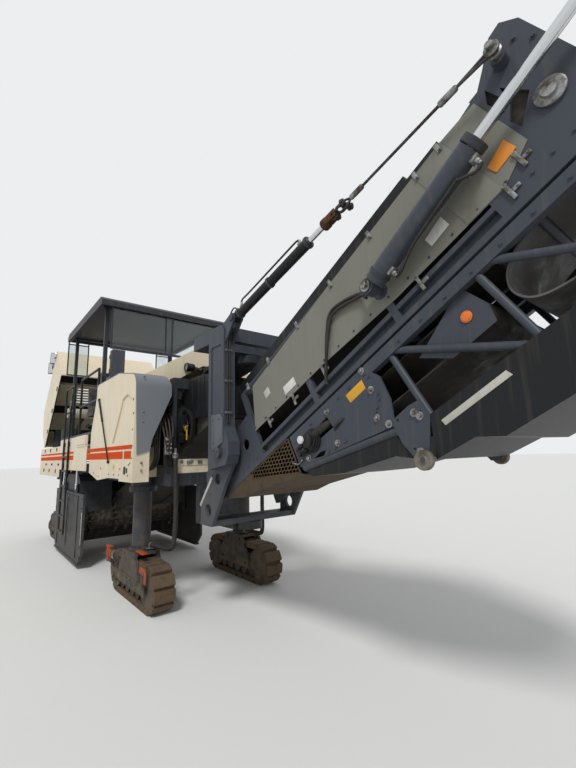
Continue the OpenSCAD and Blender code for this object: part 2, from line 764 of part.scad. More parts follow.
module hood_shell() {
    y = body_y - 20;
    difference() {
        side_shape([[20, -30], [hood_l, -30], [hood_l, hood_h - 120], [hood_l - 60, hood_h], [hood_slant,
            hood_h],
            [-40, hood_back], [-40, 60], [20, 60]], -y, y);
        side_shape([[45, -31], [hood_l - 25, -31], [hood_l - 25, hood_h - 125], [hood_l - 72, hood_h - 25],
            [hood_slant + 10, hood_h - 25], [-15, hood_back - 8], [-15, 59], [-15, -31]], -y + 25, y - 25);
        // Air intakes in the top
        for (i = [0 : 5])
            block(700 + i * 90, 740 + i * 90, -500, 500, hood_h - 26, hood_h + 1);
    }
    for (u = [620, 1300, 1900])
        block(u, u + 40, -y + 24, y - 24, hood_h - 80, hood_h - 24);
}

module canopy() {
    win_x = roof_x0 + 2;
    win_y = 770;
    color("#3b3f46") place() {
        difference() {
            side_shape([[roof_x0, roof_z - roof_t], [roof_x1, roof_z - roof_t], [roof_x1, roof_z - 60],
                [roof_x1 - 80, roof_z], [roof_x0 + 80, roof_z], [roof_x0, roof_z - 60]], -roof_y, roof_y);
            block(roof_x0 + 60, roof_x1 - 40, -roof_y + 60, roof_y - 60, roof_z - roof_t - 1,
                roof_z - roof_t + 60);
        }
        for (x = posts_x, side = [-1, 1])
            block(x - 30, x + 30, side * roof_post_y - 30, side * roof_post_y + 30, rail_z - 250,
                roof_z - roof_t + 61);
        for (x = posts_x)
            block(x - 30, x + 30, -roof_y + 59, roof_y - 59, roof_z - roof_t + 20, roof_z - roof_t + 61);
        // Frame of the windscreen, then of the small rear windows
        block(roof_x1 - 70, roof_x1 - 46, -1020, 1020, roof_z - roof_t - 740, roof_z - roof_t - 700);
        for (y = [-1020, -75, 50, 995])
            block(roof_x1 - 70, roof_x1 - 46, y, y + 25, roof_z - roof_t - 701, roof_z - roof_t + 61);
        for (side = [-1, 1]) {
            for (y = [win_y, roof_y - 37])
                block(win_x, win_x + 12, side > 0 ? y : -y - 25, side > 0 ? y + 25 : -y,
                    roof_z - roof_t - 750, roof_z - roof_t + 1);
            for (z = [roof_z - roof_t - 750, roof_z - roof_t - 60])
                block(win_x, win_x + 12, side > 0 ? win_y : -roof_y + 12, side > 0 ? roof_y - 12 : -win_y,
                    z, z + 25);
        }
    }
}

module canopy_glass() {
    z0 = roof_z - roof_t - 700;
    z1 = roof_z - roof_t;
    color("#6f7a80") place() {
        for (y = [[-995, -75], [75, 995]])
            block(roof_x1 - 62, roof_x1 - 56, y[0] + gap, y[1] - gap, z0 + gap, z1 + 60 - gap);
        block(roof_x1 - 62, roof_x1 - 56, -50 + gap, 50 - gap, z0 + gap, z1 + 60 - gap);
        for (side = [-1, 1])
            block(roof_x0 + 5, roof_x0 + 11, side > 0 ? 795 + gap : -roof_y + 37 + gap,
                side > 0 ? roof_y - 37 - gap : -795 - gap, z0 - 25 + gap, z1 - 60 - gap);
    }
}

module gantry() {
    y0 = gantry_y - column_w;
    top = gantry_z1 - 160;
    color("#454a54") place() {
        difference() {
            side_shape_pair([[gantry_x0, 1700], [gantry_x1 + 40, 1760], [gantry_x1 + 90, 1860],
                [gantry_x1 + 90, 1990], [gantry_x1, 2150], [gantry_x1, gantry_z1 - 60], [gantry_x1 - 60,
                    gantry_z1],
                [gantry_x0, gantry_z1]], y0, gantry_y);
            cross_bar(luff_x, luff_z, 45 + gap, -1000, 1000);
            // Shallow field in the outer face of each column
            for (side = [-1, 1])
                block(gantry_x0 + 60, gantry_x1 - 60, side > 0 ? gantry_y - 12 : -gantry_y - 1,
                    side > 0 ? gantry_y + 1 : -gantry_y + 12, 2200, top - 60);
        }
        difference() {
            block(slew_x - 140, gantry_x1 - 60, -gantry_y, gantry_y, top, gantry_z1);
            block(slew_x + 130, gantry_x1 - 160, -y0 + 40, y0 - 40, top - 1, gantry_z1 + 1);
        }
        // Lower arms with their round corners, and the yoke on the lower bearing
        difference() {
            side_shape_pair([[gantry_x0, 1720], [1340, 1300], [1340, 1080], [1600, 1080], [1900, 1560],
                [gantry_x1 + 20, 1760]], y0, y0 + 40);
            for (p = [[1520, 1250, 70], [1740, 1600, 60]])
                cross_bar(p[0], p[1], p[2], -y0 - 50, y0 + 50);
        }
        block(1340, 1600, -y0 - 10, y0 + 10, 1080, 1140);
        translate([slew_x, 0, 990]) cylinder(r = 60, h = 100);
        translate([slew_x, 0, 3020]) cylinder(r = 60, h = 110);
        // Brackets that hold the stays
        for (side = [-1, 1], ear = [-1, 1])
            side_shape([[gantry_x1 - 1, gantry_z1 - 220], [stay_x0 + 30, stay_z0 - 50], [stay_x0 + 45,
                stay_z0],
                [stay_x0 + 30, stay_z0 + 45], [stay_x0 - 40, stay_z0 + 45], [gantry_x1 - 61,
                    gantry_z1 - 1]],
                side * stay_y + ear * 45 - 10, side * stay_y + ear * 45 + 10);
        for (side = [-1, 1])
            cross_bar(stay_x0, stay_z0, 20, side * stay_y - 45, side * stay_y + 45);
    }
}

module inner_frame() {
    chord_z = -inner_h0 + chord_h;
    color("#454a54") conveyor() {
        // Bottom chords, each a channel that is open to the outside
        difference() {
            block_pair(-inner_s0, inner_s1, conv_y - 60, conv_y, -inner_h0, chord_z);
            block_pair(420, 3660, conv_y - 46, conv_y + 1, -inner_h0 + 45, chord_z - 35);
        }
        // Foot plates, and end plates with their three-cornered cut-outs
        difference() {
            side_shape_pair([[-inner_s0, -inner_h0], [390, -inner_h0], [390, 230], [-700, 120],
                [-inner_s0, -120]], conv_y - 20, conv_y);
            for (s = [-560, 220]) cross_bar(s, -30, 60, -conv_y - 5, conv_y + 5);
        }
        difference() {
            side_shape_pair([[3250, -inner_h0 + 10], [inner_s1, -inner_h0 + 10], [inner_s1, 640], [3880,
                750],
                [3800, 740], [3663, 610], [3560, 520], [3250, 470]], conv_y - 20, conv_y);
            side_shape([[3545, 390], [3592, 480], [3610, 330], [3562, 230]], -conv_y - 5, conv_y + 5);
            side_shape([[3640, 400], [3705, 205], [3560, 70], [3545, 160], [3610, 250]], -conv_y - 5,
                conv_y + 5);
        }
        for (side = [-1, 1]) {
            stub(side, 0, 0, 70, conv_y - 20, gantry_y - column_w - 5);
            stub(side, 0, 0, 45, conv_y - 20, gantry_y + 20);
            bar([390, side * (conv_y - 30), 480], [3260, side * (conv_y - 30), 480], 28);
            stub(side, stay_s, stay_h, 45, conv_y - 20, stay_y - 60);
            stub(side, eye_s0, eye_h0, 25, conv_y - 20, fold_y + 50);
            stub(side, eye_s0, eye_h0, 60, conv_y - 39, conv_y + 8);
            difference() {
                side_shape([[3700, -inner_h0], [fold_s, -inner_h0 - 70], [fold_s + 60, -inner_h0 - 40],
                    [fold_s + 60, -inner_h0 + 50], [fold_s - 20, -inner_h0 + 80], [3700, -inner_h0 + 100]],
                    side > 0 ? conv_y : -conv_y - 15, side > 0 ? conv_y + 15 : -conv_y);
                stub(side, fold_s, fold_h, 30.3, conv_y - 20, conv_y + 40);
            }
        }
        for (s = [420, 1350, eye_s0, 3220])
            block_pair(s - 30, s + 30, conv_y - 40, conv_y, -inner_h0 + 10, 480);
        for (s = [-500, 1000, 2000, 3000, 3800])
            cross_bar(s, -inner_h0 + 40, 30, -conv_y + 30, conv_y - 30);
    }
}

module inner_panels() {
    color("#7d8178") conveyor() difference() {
        side_shape_pair([[448, -5], [1587, -56], [2396, -130], [3300, -146], [3528, -30], [3512, 480],
            [3250, 500],
            [2000, 480], [633, 430]], conv_y + gap, conv_y + 6);
        for (side = [-1, 1]) stub(side, eye_s0, eye_h0, 62, conv_y - 20, conv_y + 40);
    }
}

module inner_cover() {
    // Crowned rubber cover over the belt, lower over its last part
    color("#1d1e20") conveyor() difference() {
        union() {
            end_shape([[-conv_y + 22, 508 + gap], [-conv_y + 22, inner_h1], [-250, inner_h1 + 70],
                [250, inner_h1 + 70], [conv_y - 22, inner_h1], [conv_y - 22, 508 + gap]], 395, 2950);
            end_shape([[-conv_y + 22, 508 + gap], [-conv_y + 22, inner_h1 - 50], [-250, inner_h1],
                [250, inner_h1], [conv_y - 22, inner_h1 - 50], [conv_y - 22, 508 + gap]], 2949, 3240);
        }
        end_shape([[-conv_y + 32, 500], [-conv_y + 32, inner_h1 - 60], [-245, inner_h1 - 10],
            [245, inner_h1 - 10], [conv_y - 32, inner_h1 - 60], [conv_y - 32, 500]], 394, 3241);
    }
}

// Expanded-metal guards under the foot of the conveyor
module foot_mesh() {
    color("#8a7a58") conveyor()
        side_shape_pair([[150, -inner_h0 - gap], [846, -inner_h0 - gap], [846, -688], [150, -395]],
            conv_y - 14, conv_y - 8);
}

// Rubber tray that hangs below the guards
module foot_tray() {
    out = [[-420, -inner_h0 - gap], [-380, -354], [-44, -496], [186, -528], [730, -674], [846, -700],
        [846, -688 - gap], [150, -395 - gap], [149, -inner_h0 - gap]];
    color("#6b5a45") conveyor() {
        side_shape_pair(out, conv_y - 14, conv_y - 4);
        side_shape([[-380, -354], [-44, -496], [186, -528], [730, -674], [846, -700], [846, -688.5], [730,
            -662],
            [186, -516], [-44, -484], [-372, -344]], -conv_y + 13, conv_y - 13);
    }
}

module belt_loop(s0, s1, h0, h1, w, shaft_y) {
    r = (h1 - h0) / 2;
    translate([0, w / 2, (h0 + h1) / 2]) rotate([90, 0, 0]) linear_extrude(w) difference() {
        union() {
            translate([s0 + r, -r]) square([s1 - s0 - 2 * r, 2 * r]);
            translate([s0 + r, 0]) circle(r = r);
            translate([s1 - r, 0]) circle(r = r);
        }
        translate([s0 + r, -r + 14]) square([s1 - s0 - 2 * r, 2 * r - 28]);
        translate([s0 + r, 0]) circle(r = r - 14);
        translate([s1 - r, 0]) circle(r = r - 14);
    }
    for (s = [s0 + r, s1 - r]) {
        cross_bar(s, (h0 + h1) / 2, r - 14, -w / 2 - 20, w / 2 + 20);
        cross_bar(s, (h0 + h1) / 2, 30, -shaft_y, shaft_y);
    }
}

module inner_belt() {
    color("#202124") conveyor()
        belt_loop(-inner_s0 + 20, inner_s1 - 20, -165, 90, belt_w, conv_y - 20 - gap);
}

module outer_frame() {
    top = -inner_h0 - 20;
    plate_y = outer_y - 16;
    color("#454a54") conveyor() {
        block_pair(outer_s0, fold_s, outer_y - 60, outer_y, top - 90, top);
        // Head plates with the openings for the belt drive
        difference() {
            side_shape_pair([[outer_s0, top - 10], [1900, top - 10], [1985, -500], [1970, -690], [1900,
                -870],
                [outer_s0, -640]], plate_y, outer_y);
            side_shape([[925, -490], [1376, -445], [1392, -560], [955, -560]], -600, 600);
            side_shape([[1056, -660], [1151, -650], [1225, -670], [1180, -700]], -600, 600);
        }
        // Corner plates that carry the castors
        difference() {
            side_shape_pair([[1890, -830], [2060, -815], [2147, -827], [2165, -958], [2030, -1150], [1994,
                -1225],
                [1930, -1190], [1885, -1000]], plate_y + 1, outer_y);
            for (p = [[1940, -850], [2120, -900], [1950, -1080]])
                cross_bar(p[0], p[1], 9, -600, 600);
        }
        // Inner plates behind the diagonals
        side_shape_pair([[2289, -576], [2684, top - 80], [2773, top - 80], [2834, -609], [2808, -725],
            [2475, -734]],
            outer_y - 55, outer_y - 49);
        side_shape_pair([[fold_s - 500, top - 10], [fold_s + 40, top - 10], [fold_s + 90, top - 80],
            [fold_s + 90, -955], [fold_s - 500, -955]], plate_y, outer_y);
        side_shape_pair([[fold_s - 160, -880], [fold_s + 80, -880], [fold_s + 80, -420], [fold_s - 160,
            -420]],
            outer_y - 1, lever_y);
        side_shape_pair([[fold_s - 40, -500], [fold_s + 80, -500], [eye_s1 + 50, eye_h1 - 20],
            [eye_s1 + 40, eye_h1 + 50], [eye_s1 - 40, eye_h1 + 50], [fold_s - 40, fold_h]], lever_y - 13,
                lever_y);
        for (side = [-1, 1]) {
            y = side * (outer_y - 35);
            bar([outer_s0 + 20, y, -655], [1909, y, -905], 34);
            bar([1890, y, -900], [2130, y, -outer_h0 - 20], 30);
            bar([2110, y, -outer_h0 - 18], [fold_s, y, -outer_h0 - 20], 32);
            for (p = [[2129, 2154], [2150, 2852], [2885, 2925], [2966, 3600]])
                bar([p[0], y, top - 45], [p[1], y, -outer_h0], 26);
            stub(side, fold_s, fold_h, 30, outer_y - 60, lever_y);
            stub(side, 1994, -1186, 18, plate_y + 1, conv_y + 60);
            // Drive motor of the belt
            stub(side, 1130, -525, 70, plate_y + 1, outer_y + 45);
            stub(side, 1130, -525, 45, outer_y + 44, outer_y + 75);
        }
        for (s = [1500, 2300, 3300])
            cross_bar(s, top - 45, 30, -outer_y + 30, outer_y - 30);
    }
}

module outer_cover() {
    z1 = -outer_h0 + 5;
    pan = [[900, -698], [1860, -928], [1885, -1115], [1780, -1040], [1284, -912], [941, -765]];
    color("#2c2c2c") conveyor() {
        // Belly cover under the folded section
        difference() {
            side_shape([[2170, z1], [2050, -1214], [2340, -1227], [2485, -belly_h], [fold_s - 20, -belly_h],
                [fold_s - 20, z1]], -outer_y - 5, outer_y + 5);
            side_shape([[2180, z1 + 1], [2060, -1206], [2342, -1219], [2488, -belly_h + 8],
                [fold_s - 19, -belly_h + 8], [fold_s - 19, z1 + 1]], -outer_y + 3 - gap, outer_y - 3 + gap);
            // Ways for the frame's lower tubes
            for (side = [-1, 1])
                bar([2110, side * (outer_y - 35), -outer_h0 - 18], [fold_s, side * (outer_y - 35),
                    -outer_h0 - 20], 32.2);
        }
        // Pan below the head, under its tubes
        difference() {
            side_shape(pan, -outer_y + 25, outer_y - 25);
            side_shape([[880, -690], [1855, -924], [1872, -1092], [1784, -1028], [1286, -902], [948, -752]],
                -outer_y + 41, outer_y - 41);
        }
    }
}

module outer_belt() {
    color("#202124") conveyor()
        belt_loop(outer_s0 + 60, fold_s - 60, -700, -452, belt_w, outer_y - 16 - gap);
}

module luff_barrel(side) {
    color("#26282c") place() translate([stay_x0, side * stay_y, stay_z0]) rotate([0, -stay_a,
        0]) difference() {
        union() {
            translate([80, 0, 0]) rotate([0, 90, 0]) cylinder(d = luff_d, h = 1180);
            rotate([90, 0, 0]) cylinder(r = 42, h = 60, center = true);
            block(0, 90, -30, 30, -35, 35);
        }
        translate([120, 0, 0]) rotate([0, 90, 0]) cylinder(d = 51, h = 1300);
        rotate([90, 0, 0]) cylinder(r = 20.3, h = 80, center = true);
    }
}

module luff_rod(side) {
    color("#b8bcc0") place() translate([stay_x0, side * stay_y, stay_z0]) rotate([0, -stay_a, 0]) {
        translate([480, 0, 0]) rotate([0, 90, 0]) cylinder(d = 50, h = 1000);
        block(1440, 1560, -35, 35, -40, 40);
        translate([1500, 0, 0]) rotate([0, 90, 0]) cylinder(d = 22, h = stay_l - 1560);
        translate([stay_l - 400, 0, 0]) rotate([0, 90, 0]) cylinder(d = 44, h = 300);
        translate([stay_l, 0, 0]) rotate([90, 0, 0]) cylinder(r = 45, h = 50, center = true);
        block(stay_l - 120, stay_l, -20, 20, -20, 20);
        translate([stay_l, -side * 10, 0]) rotate([side * 90, 0, 0]) cylinder(r = 22, h = 49.5);
    }
}

module fold_barrel(side) {
    color("#3c3e42") conveyor() translate([eye_s0, side * fold_y, eye_h0]) rotate([0, -fold_a,
        0]) difference() {
        union() {
            translate([60, 0, 0]) rotate([0, 90, 0]) cylinder(d = fold_d, h = 930);
            rotate([90, 0, 0]) cylinder(r = 60, h = 90, center = true);
            block(0, 70, -40, 40, -45, 45);
        }
        translate([120, 0, 0]) rotate([0, 90, 0]) cylinder(d = 71, h = 1300);
        rotate([90, 0, 0]) cylinder(r = 25.3, h = 100, center = true);
    }
}

module fold_rod(side) {
    color("#c9ccd0") conveyor() translate([eye_s0, side * fold_y, eye_h0]) rotate([0, -fold_a, 0]) {
        translate([790, 0, 0]) rotate([0, 90, 0]) cylinder(d = 70, h = fold_l - 830);
        difference() {
            translate([fold_l, 0, 0]) rotate([90, 0, 0]) cylinder(r = 60, h = 90, center = true);
            translate([fold_l, 0, 0]) rotate([90, 0, 0]) cylinder(r = 20, h = 100, center = true);
        }
        translate([fold_l, 0, 0]) rotate([side * 90, 0, 0]) cylinder(r = 28, h = fold_y - lever_y - gap);
    }
}

module castor(side) {
    color("#a8a49a") conveyor() translate([1994, side * (conv_y + 35), -1186]) rotate([90, 0,
        0]) difference() {
        union() {
            cylinder(r = 65, h = 40, center = true);
            cylinder(r = 30, h = 46, center = true);
        }
        cylinder(r = 18.3, h = 60, center = true);
        for (z = [-20.1, 14]) translate([0, 0, z]) difference() {
            cylinder(r = 52, h = 6.1);
            translate([0, 0, -1]) cylinder(r = 30, h = 9);
        }
    }
}

main_frame();
drum_housing();
front_body();
middle_body();
rear_body();
stripes();
fairings();
platform();
railings();
post_sleeves();
ladder();
engine();
muffler();
blower();
feed_conveyor();
lamps();
column_sleeves();
slew_bracket();
nose_hood();
feed_hood();
side_box();
color("#55585c") lifting_column(leg_x[0], -track_y);  // column_fr
color("#55585c") lifting_column(leg_x[0], track_y);  // column_fl
color("#55585c") lifting_column(leg_x[1], -track_y);  // column_rr
color("#55585c") lifting_column(leg_x[1], track_y);  // column_rl
color("#6a6c70") track_frame(leg_x[0], -track_y);  // track_frame_fr
color("#6a6c70") track_frame(leg_x[0], track_y);  // track_frame_fl
color("#6a6c70") track_frame(leg_x[1], -track_y);  // track_frame_rr
color("#6a6c70") track_frame(leg_x[1], track_y);  // track_frame_rl
color("#6e5f4f") track_loop(leg_x[0], -track_y);  // track_loop_fr
color("#6e5f4f") track_loop(leg_x[0], track_y);  // track_loop_fl
color("#6e5f4f") track_loop(leg_x[1], -track_y);  // track_loop_rr
color("#6e5f4f") track_loop(leg_x[1], track_y);  // track_loop_rl
milling_drum();
side_plate(-1);  // side_plate_r
side_plate(1);  // side_plate_l
scraper();
hood();
canopy();
canopy_glass();
gantry();
inner_frame();
inner_panels();
inner_cover();
inner_belt();
foot_mesh();
foot_tray();
outer_frame();
outer_cover();
outer_belt();
luff_barrel(-1);  // luff_barrel_r
luff_barrel(1);  // luff_barrel_l
luff_rod(-1);  // luff_rod_r
luff_rod(1);  // luff_rod_l
fold_barrel(-1);  // fold_barrel_r
fold_barrel(1);  // fold_barrel_l
fold_rod(-1);  // fold_rod_r
fold_rod(1);  // fold_rod_l
castor(-1);  // wheel_r
castor(1);  // wheel_l
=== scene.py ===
"""Looks of the cold planer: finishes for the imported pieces, the small pieces they carry, and the stage."""

import json
import math

import bmesh
import bpy
from bpy.props import FloatProperty, FloatVectorProperty, PointerProperty
from mathutils import Matrix, Vector


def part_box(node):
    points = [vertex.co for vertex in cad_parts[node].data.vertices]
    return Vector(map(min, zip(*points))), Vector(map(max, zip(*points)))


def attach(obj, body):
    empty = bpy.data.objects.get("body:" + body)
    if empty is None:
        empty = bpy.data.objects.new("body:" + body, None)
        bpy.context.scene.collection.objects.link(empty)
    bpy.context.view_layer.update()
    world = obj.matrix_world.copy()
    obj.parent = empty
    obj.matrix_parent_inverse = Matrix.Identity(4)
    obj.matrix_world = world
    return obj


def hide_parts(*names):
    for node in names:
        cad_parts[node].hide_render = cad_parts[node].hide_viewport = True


bl_info = {
    "name": "Cold planer looks",
    "version": (1, 0, 0),
    "blender": (4, 5, 0),
    "location": "View3D > Sidebar > Cold planer",
    "description": "Finishes and small pieces for a cold planer milling machine",
    "category": "Object",
}

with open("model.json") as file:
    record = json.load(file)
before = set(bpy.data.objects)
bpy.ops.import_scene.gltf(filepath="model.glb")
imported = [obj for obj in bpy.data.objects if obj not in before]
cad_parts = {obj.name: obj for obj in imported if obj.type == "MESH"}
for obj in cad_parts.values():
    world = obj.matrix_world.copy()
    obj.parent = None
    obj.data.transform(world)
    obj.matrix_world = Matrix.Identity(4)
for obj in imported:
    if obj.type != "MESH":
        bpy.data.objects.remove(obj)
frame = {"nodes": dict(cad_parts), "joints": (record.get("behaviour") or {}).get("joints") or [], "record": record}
NODES = frame["nodes"]
JOINTS = {j["name"]: j for j in frame["joints"]}
# Lengths along X are measured from the front lifting columns, as in the construction
SHIFT = JOINTS["lift_fr"]["pos_m"][0]


def joint_mm(name):
    """A joint's place in whole millimetres, as in the construction."""
    x, y, z = JOINTS[name]["pos_m"]
    return round((x - SHIFT) * 1000), round(y * 1000), round(z * 1000)


# Places that the small pieces share with the construction, in mm
WHEELBASE = -joint_mm("lift_rr")[0]
COLUMN_Y = joint_mm("lift_fl")[1]
LUFF_X, LUFF_Z = joint_mm("luff")[::2]
HOOD_X, HOOD_Z = joint_mm("hood_hinge")[::2]
DRUM_X, DRUM_Z = joint_mm("drum_spin")[::2]
# Luffing stay: pins on the gantry, as x and z, and on the conveyor, as s and h
STAY_Y, STAY_FOOT, STAY_HEAD = 630, (2180, 3310), (3737, 508)
# Folding cylinder: pins on the inner and the outer section, as s and h
FOLD_Y, FOLD_FOOT, FOLD_HEAD = 625, (2343, 15), (4420, 295)
# Conveyor: the folded belt's axles, the folded section's side plates and the inner section's panels
BELT_AXLE_H, PLATE_Y, PANEL_SIDE = -576, 495, 506.2
# Outer faces of the body, the gantry and the side plates, with a hair's gap for what is fixed on them
BODY_SIDE, FRAME_SIDE, SIDE_PLATE_FACE = 1200.3, 700.3, 1125.2
# Heights of the track rollers' axles and of the engine's floor
AXLE_Z, ENGINE_FLOOR = 275, 2140.3
# Middles of the fan wheel and the blower in the front bay
FAN_X, FAN_Z = 690, 2228
BLOWER_X, BLOWER_Z = 250, 2260

X, Y, Z = Vector((1, 0, 0)), Vector((0, 1, 0)), Vector((0, 0, 1))
SQUARE = (X, Y, Z)
SLOPE = math.radians(28.5)
ALONG = Vector((math.cos(SLOPE), 0, math.sin(SLOPE)))
ABOVE = Vector((-math.sin(SLOPE), 0, math.cos(SLOPE)))
BELT_AXES = (ALONG, Y, ABOVE)
SIDES = ((-1, "r"), (1, "l"))
DUST = "#746757"


def linear(hex_colour):
    """sRGB hex value as linear colour with alpha."""
    values = [int(hex_colour[i:i + 2], 16) / 255 for i in (1, 3, 5)]
    return [v / 12.92 if v <= 0.04045 else ((v + 0.055) / 1.055) ** 2.4 for v in values] + [1.0]


def per_metre(size_mm):
    """A pattern's scale on coordinates in metres, from its real size."""
    return 1000 / size_mm


def add(tree, kind, links=None, out=0, **settings):
    """Adds a shader node and returns one output; links gives its sockets values or other outputs."""
    made = tree.nodes.new("ShaderNode" + kind)
    for key, value in settings.items():
        setattr(made, key, value)
    for key, value in (links or {}).items():
        if isinstance(value, bpy.types.NodeSocket):
            tree.links.new(value, made.inputs[key])
        else:
            made.inputs[key].default_value = value
    return made.outputs[out] if made.outputs else None


def new_material(name):
    """A new material without nodes, its node tree, and the piece's own coordinates in metres."""
    made = bpy.data.materials.new(name)
    made.use_nodes = True
    tree = made.node_tree
    tree.nodes.clear()
    return made, tree, add(tree, "TexCoord", out="Object")


def close(made, links):
    """Gives a material its one shader."""
    tree = made.node_tree
    add(tree, "OutputMaterial", {"Surface": add(tree, "BsdfPrincipled", links)})
    return made


def paint(name, colour, rough, coat, dust, dust_z, streaks, shine=0.25):
    """Sprayed machine paint: a fine orange peel, faint rain streaks, and road dust up to dust_z metres."""
    made, tree, place = new_material(name)
    base = linear(colour)
    faded = add(tree, "TexNoise", {"Vector": place, "Scale": per_metre(700), "Detail": 4.0,
                                   "Roughness": 0.55})
    faded = add(tree, "MapRange", {"Value": faded, "From Min": 0.35, "From Max": 0.75})
    faded = add(tree, "Math", {0: faded, 1: 0.5}, operation="MULTIPLY")
    now = add(tree, "Mix", {0: faded, 6: base, 7: [c * 0.82 for c in base[:3]] + [1.0]}, 2,
              data_type="RGBA")
    # Rain and hydraulic dirt run down in streaks 35 mm wide
    runs = add(tree, "Mapping", {"Vector": place, "Scale": (1, 1, 0.06)})
    runs = add(tree, "TexNoise", {"Vector": runs, "Scale": per_metre(35), "Detail": 3.0, "Roughness": 0.55})
    runs = add(tree, "MapRange", {"Value": runs, "From Min": 0.52, "From Max": 0.75})
    runs = add(tree, "Math", {0: runs, 1: streaks}, operation="MULTIPLY")
    now = add(tree, "Mix", {0: runs, 6: now, 7: linear("#6f6658")}, 2, data_type="RGBA")
    height = add(tree, "SeparateXYZ", {"Vector": place}, "Z")
    low = add(tree, "MapRange", {"Value": height, "From Min": dust_z, "From Max": 0.2})
    film = add(tree, "TexNoise", {"Vector": place, "Scale": per_metre(160), "Detail": 6.0,
                                  "Roughness": 0.65})
    film = add(tree, "MapRange", {"Value": film, "From Min": 0.38, "From Max": 0.62})
    film = add(tree, "Math", {0: low, 1: film}, operation="MULTIPLY")
    film = add(tree, "Math", {0: film, 1: dust}, operation="MULTIPLY")
    now = add(tree, "Mix", {0: film, 6: now, 7: linear(DUST)}, 2, data_type="RGBA")
    # Stone chips, in patches about 55 mm apart, show the rusted steel
    chips = add(tree, "TexNoise", {"Vector": place, "Scale": per_metre(55), "Detail": 5.0,
                                   "Roughness": 0.7})
    chips = add(tree, "MapRange", {"Value": chips, "From Min": 0.71, "From Max": 0.73})
    chips = add(tree, "Math", {0: chips, 1: 0.8}, operation="MULTIPLY")
    now = add(tree, "Mix", {0: chips, 6: now, 7: linear("#5e3f2c")}, 2, data_type="RGBA")
    dulled = add(tree, "MapRange", {"Value": film, "From Min": 0.0, "From Max": 0.6, "To Min": rough,
                                    "To Max": 0.85})
    peel = add(tree, "TexNoise", {"Vector": place, "Scale": per_metre(3), "Detail": 2.0, "Roughness": 0.55})
    # Weathered paint has lost most of its shine
    return close(made, {"Base Color": now, "Roughness": dulled, "Specular IOR Level": shine,
                        "Coat Weight": coat, "Coat Roughness": 0.12, "Normal": add(
                            tree, "Bump", {"Height": peel, "Strength": 0.12, "Distance": 0.0004})})


def dusty_rubber(name, colour, dust_colour, amount, size_mm, rough):
    """Rubber that works in road dust: brown dust lies in its hollows, in patches of size_mm."""
    made, tree, place = new_material(name)
    dirt = add(tree, "TexNoise", {"Vector": place, "Scale": per_metre(size_mm), "Detail": 8.0,
                                  "Roughness": 0.7})
    dirt = add(tree, "MapRange", {"Value": dirt, "From Min": 0.5 - amount / 2,
                                  "From Max": 0.75 - amount / 2})
    fine = add(tree, "TexNoise", {"Vector": place, "Scale": per_metre(6), "Detail": 5.0, "Roughness": 0.7})
    now = add(tree, "Mix", {0: dirt, 6: linear(colour), 7: linear(dust_colour)}, 2, data_type="RGBA")
    grit = add(tree, "Math", {0: fine, 1: 0.35}, operation="MULTIPLY")
    now = add(tree, "Mix", {0: grit, 6: now, 7: linear("#3c342b")}, 2, data_type="RGBA")
    dulled = add(tree, "MapRange", {"Value": dirt, "To Min": rough, "To Max": 0.9})
    return close(made, {"Base Color": now, "Roughness": dulled, "Specular IOR Level": 0.35, "Normal": add(
        tree, "Bump", {"Height": fine, "Strength": 0.4, "Distance": 0.0015})})


def bare_steel(name, colour, rough, grain_mm=12):
    """Bare metal with a grain of grain_mm, stained by the road's binder in patches eight times that."""
    made, tree, place = new_material(name)
    stains = add(tree, "TexNoise", {"Vector": place, "Scale": per_metre(grain_mm * 8), "Detail": 6.0,
                                    "Roughness": 0.65})
    stains = add(tree, "MapRange", {"Value": stains, "From Min": 0.35, "From Max": 0.65})
    now = add(tree, "Mix", {0: stains, 6: linear(colour), 7: linear("#4b3f33")}, 2, data_type="RGBA")
    dulled = add(tree, "MapRange", {"Value": stains, "To Min": rough, "To Max": 0.8})
    grain = add(tree, "TexNoise", {"Vector": place, "Scale": per_metre(grain_mm), "Detail": 5.0,
                                   "Roughness": 0.55})
    return close(made, {"Base Color": now, "Roughness": dulled, "Metallic": 0.75, "Normal": add(
        tree, "Bump", {"Height": grain, "Strength": 0.35, "Distance": 0.002})})


def smooth_mirror(name, colour, spot_mm, spot_detail, low, high, rough, rougher):
    """Polished metal or silvered glass, a little duller in spots of spot_mm."""
    made, tree, place = new_material(name)
    marks = add(tree, "TexNoise", {"Vector": place, "Scale": per_metre(spot_mm), "Detail": spot_detail,
                                   "Roughness": 0.55})
    dulled = add(tree, "MapRange", {"Value": marks, "From Min": low, "From Max": high, "To Min": rough,
                                    "To Max": rougher})
    return close(made, {"Base Color": linear(colour), "Metallic": 1.0, "Roughness": dulled})


def tinted_glass(name, colour):
    """Laminated safety glass, wiped in arcs about 250 mm apart."""
    made, tree, place = new_material(name)
    wiped = add(tree, "TexNoise", {"Vector": place, "Scale": per_metre(250), "Detail": 3.0,
                                   "Roughness": 0.55})
    dulled = add(tree, "MapRange", {"Value": wiped, "From Min": 0.4, "From Max": 0.7, "To Min": 0.03,
                                    "To Max": 0.12})
    return close(made, {"Base Color": linear(colour), "Transmission Weight": 1.0, "IOR": 1.5,
                        "Roughness": dulled})


def moulded_lens(name, colour, through):
    """Moulded acrylic with ribs 3.9 mm apart, which is a scale of 80 in Blender's wave pattern."""
    made, tree, place = new_material(name)
    ribs = add(tree, "TexWave", {"Vector": place, "Scale": 80.0, "Distortion": 0.0}, 1)
    return close(made, {"Base Color": linear(colour), "Transmission Weight": through, "Roughness": 0.12,
                        "IOR": 1.5, "Normal": add(tree, "Bump", {"Height": ribs, "Strength": 0.25,
                                                                 "Distance": 0.001})})


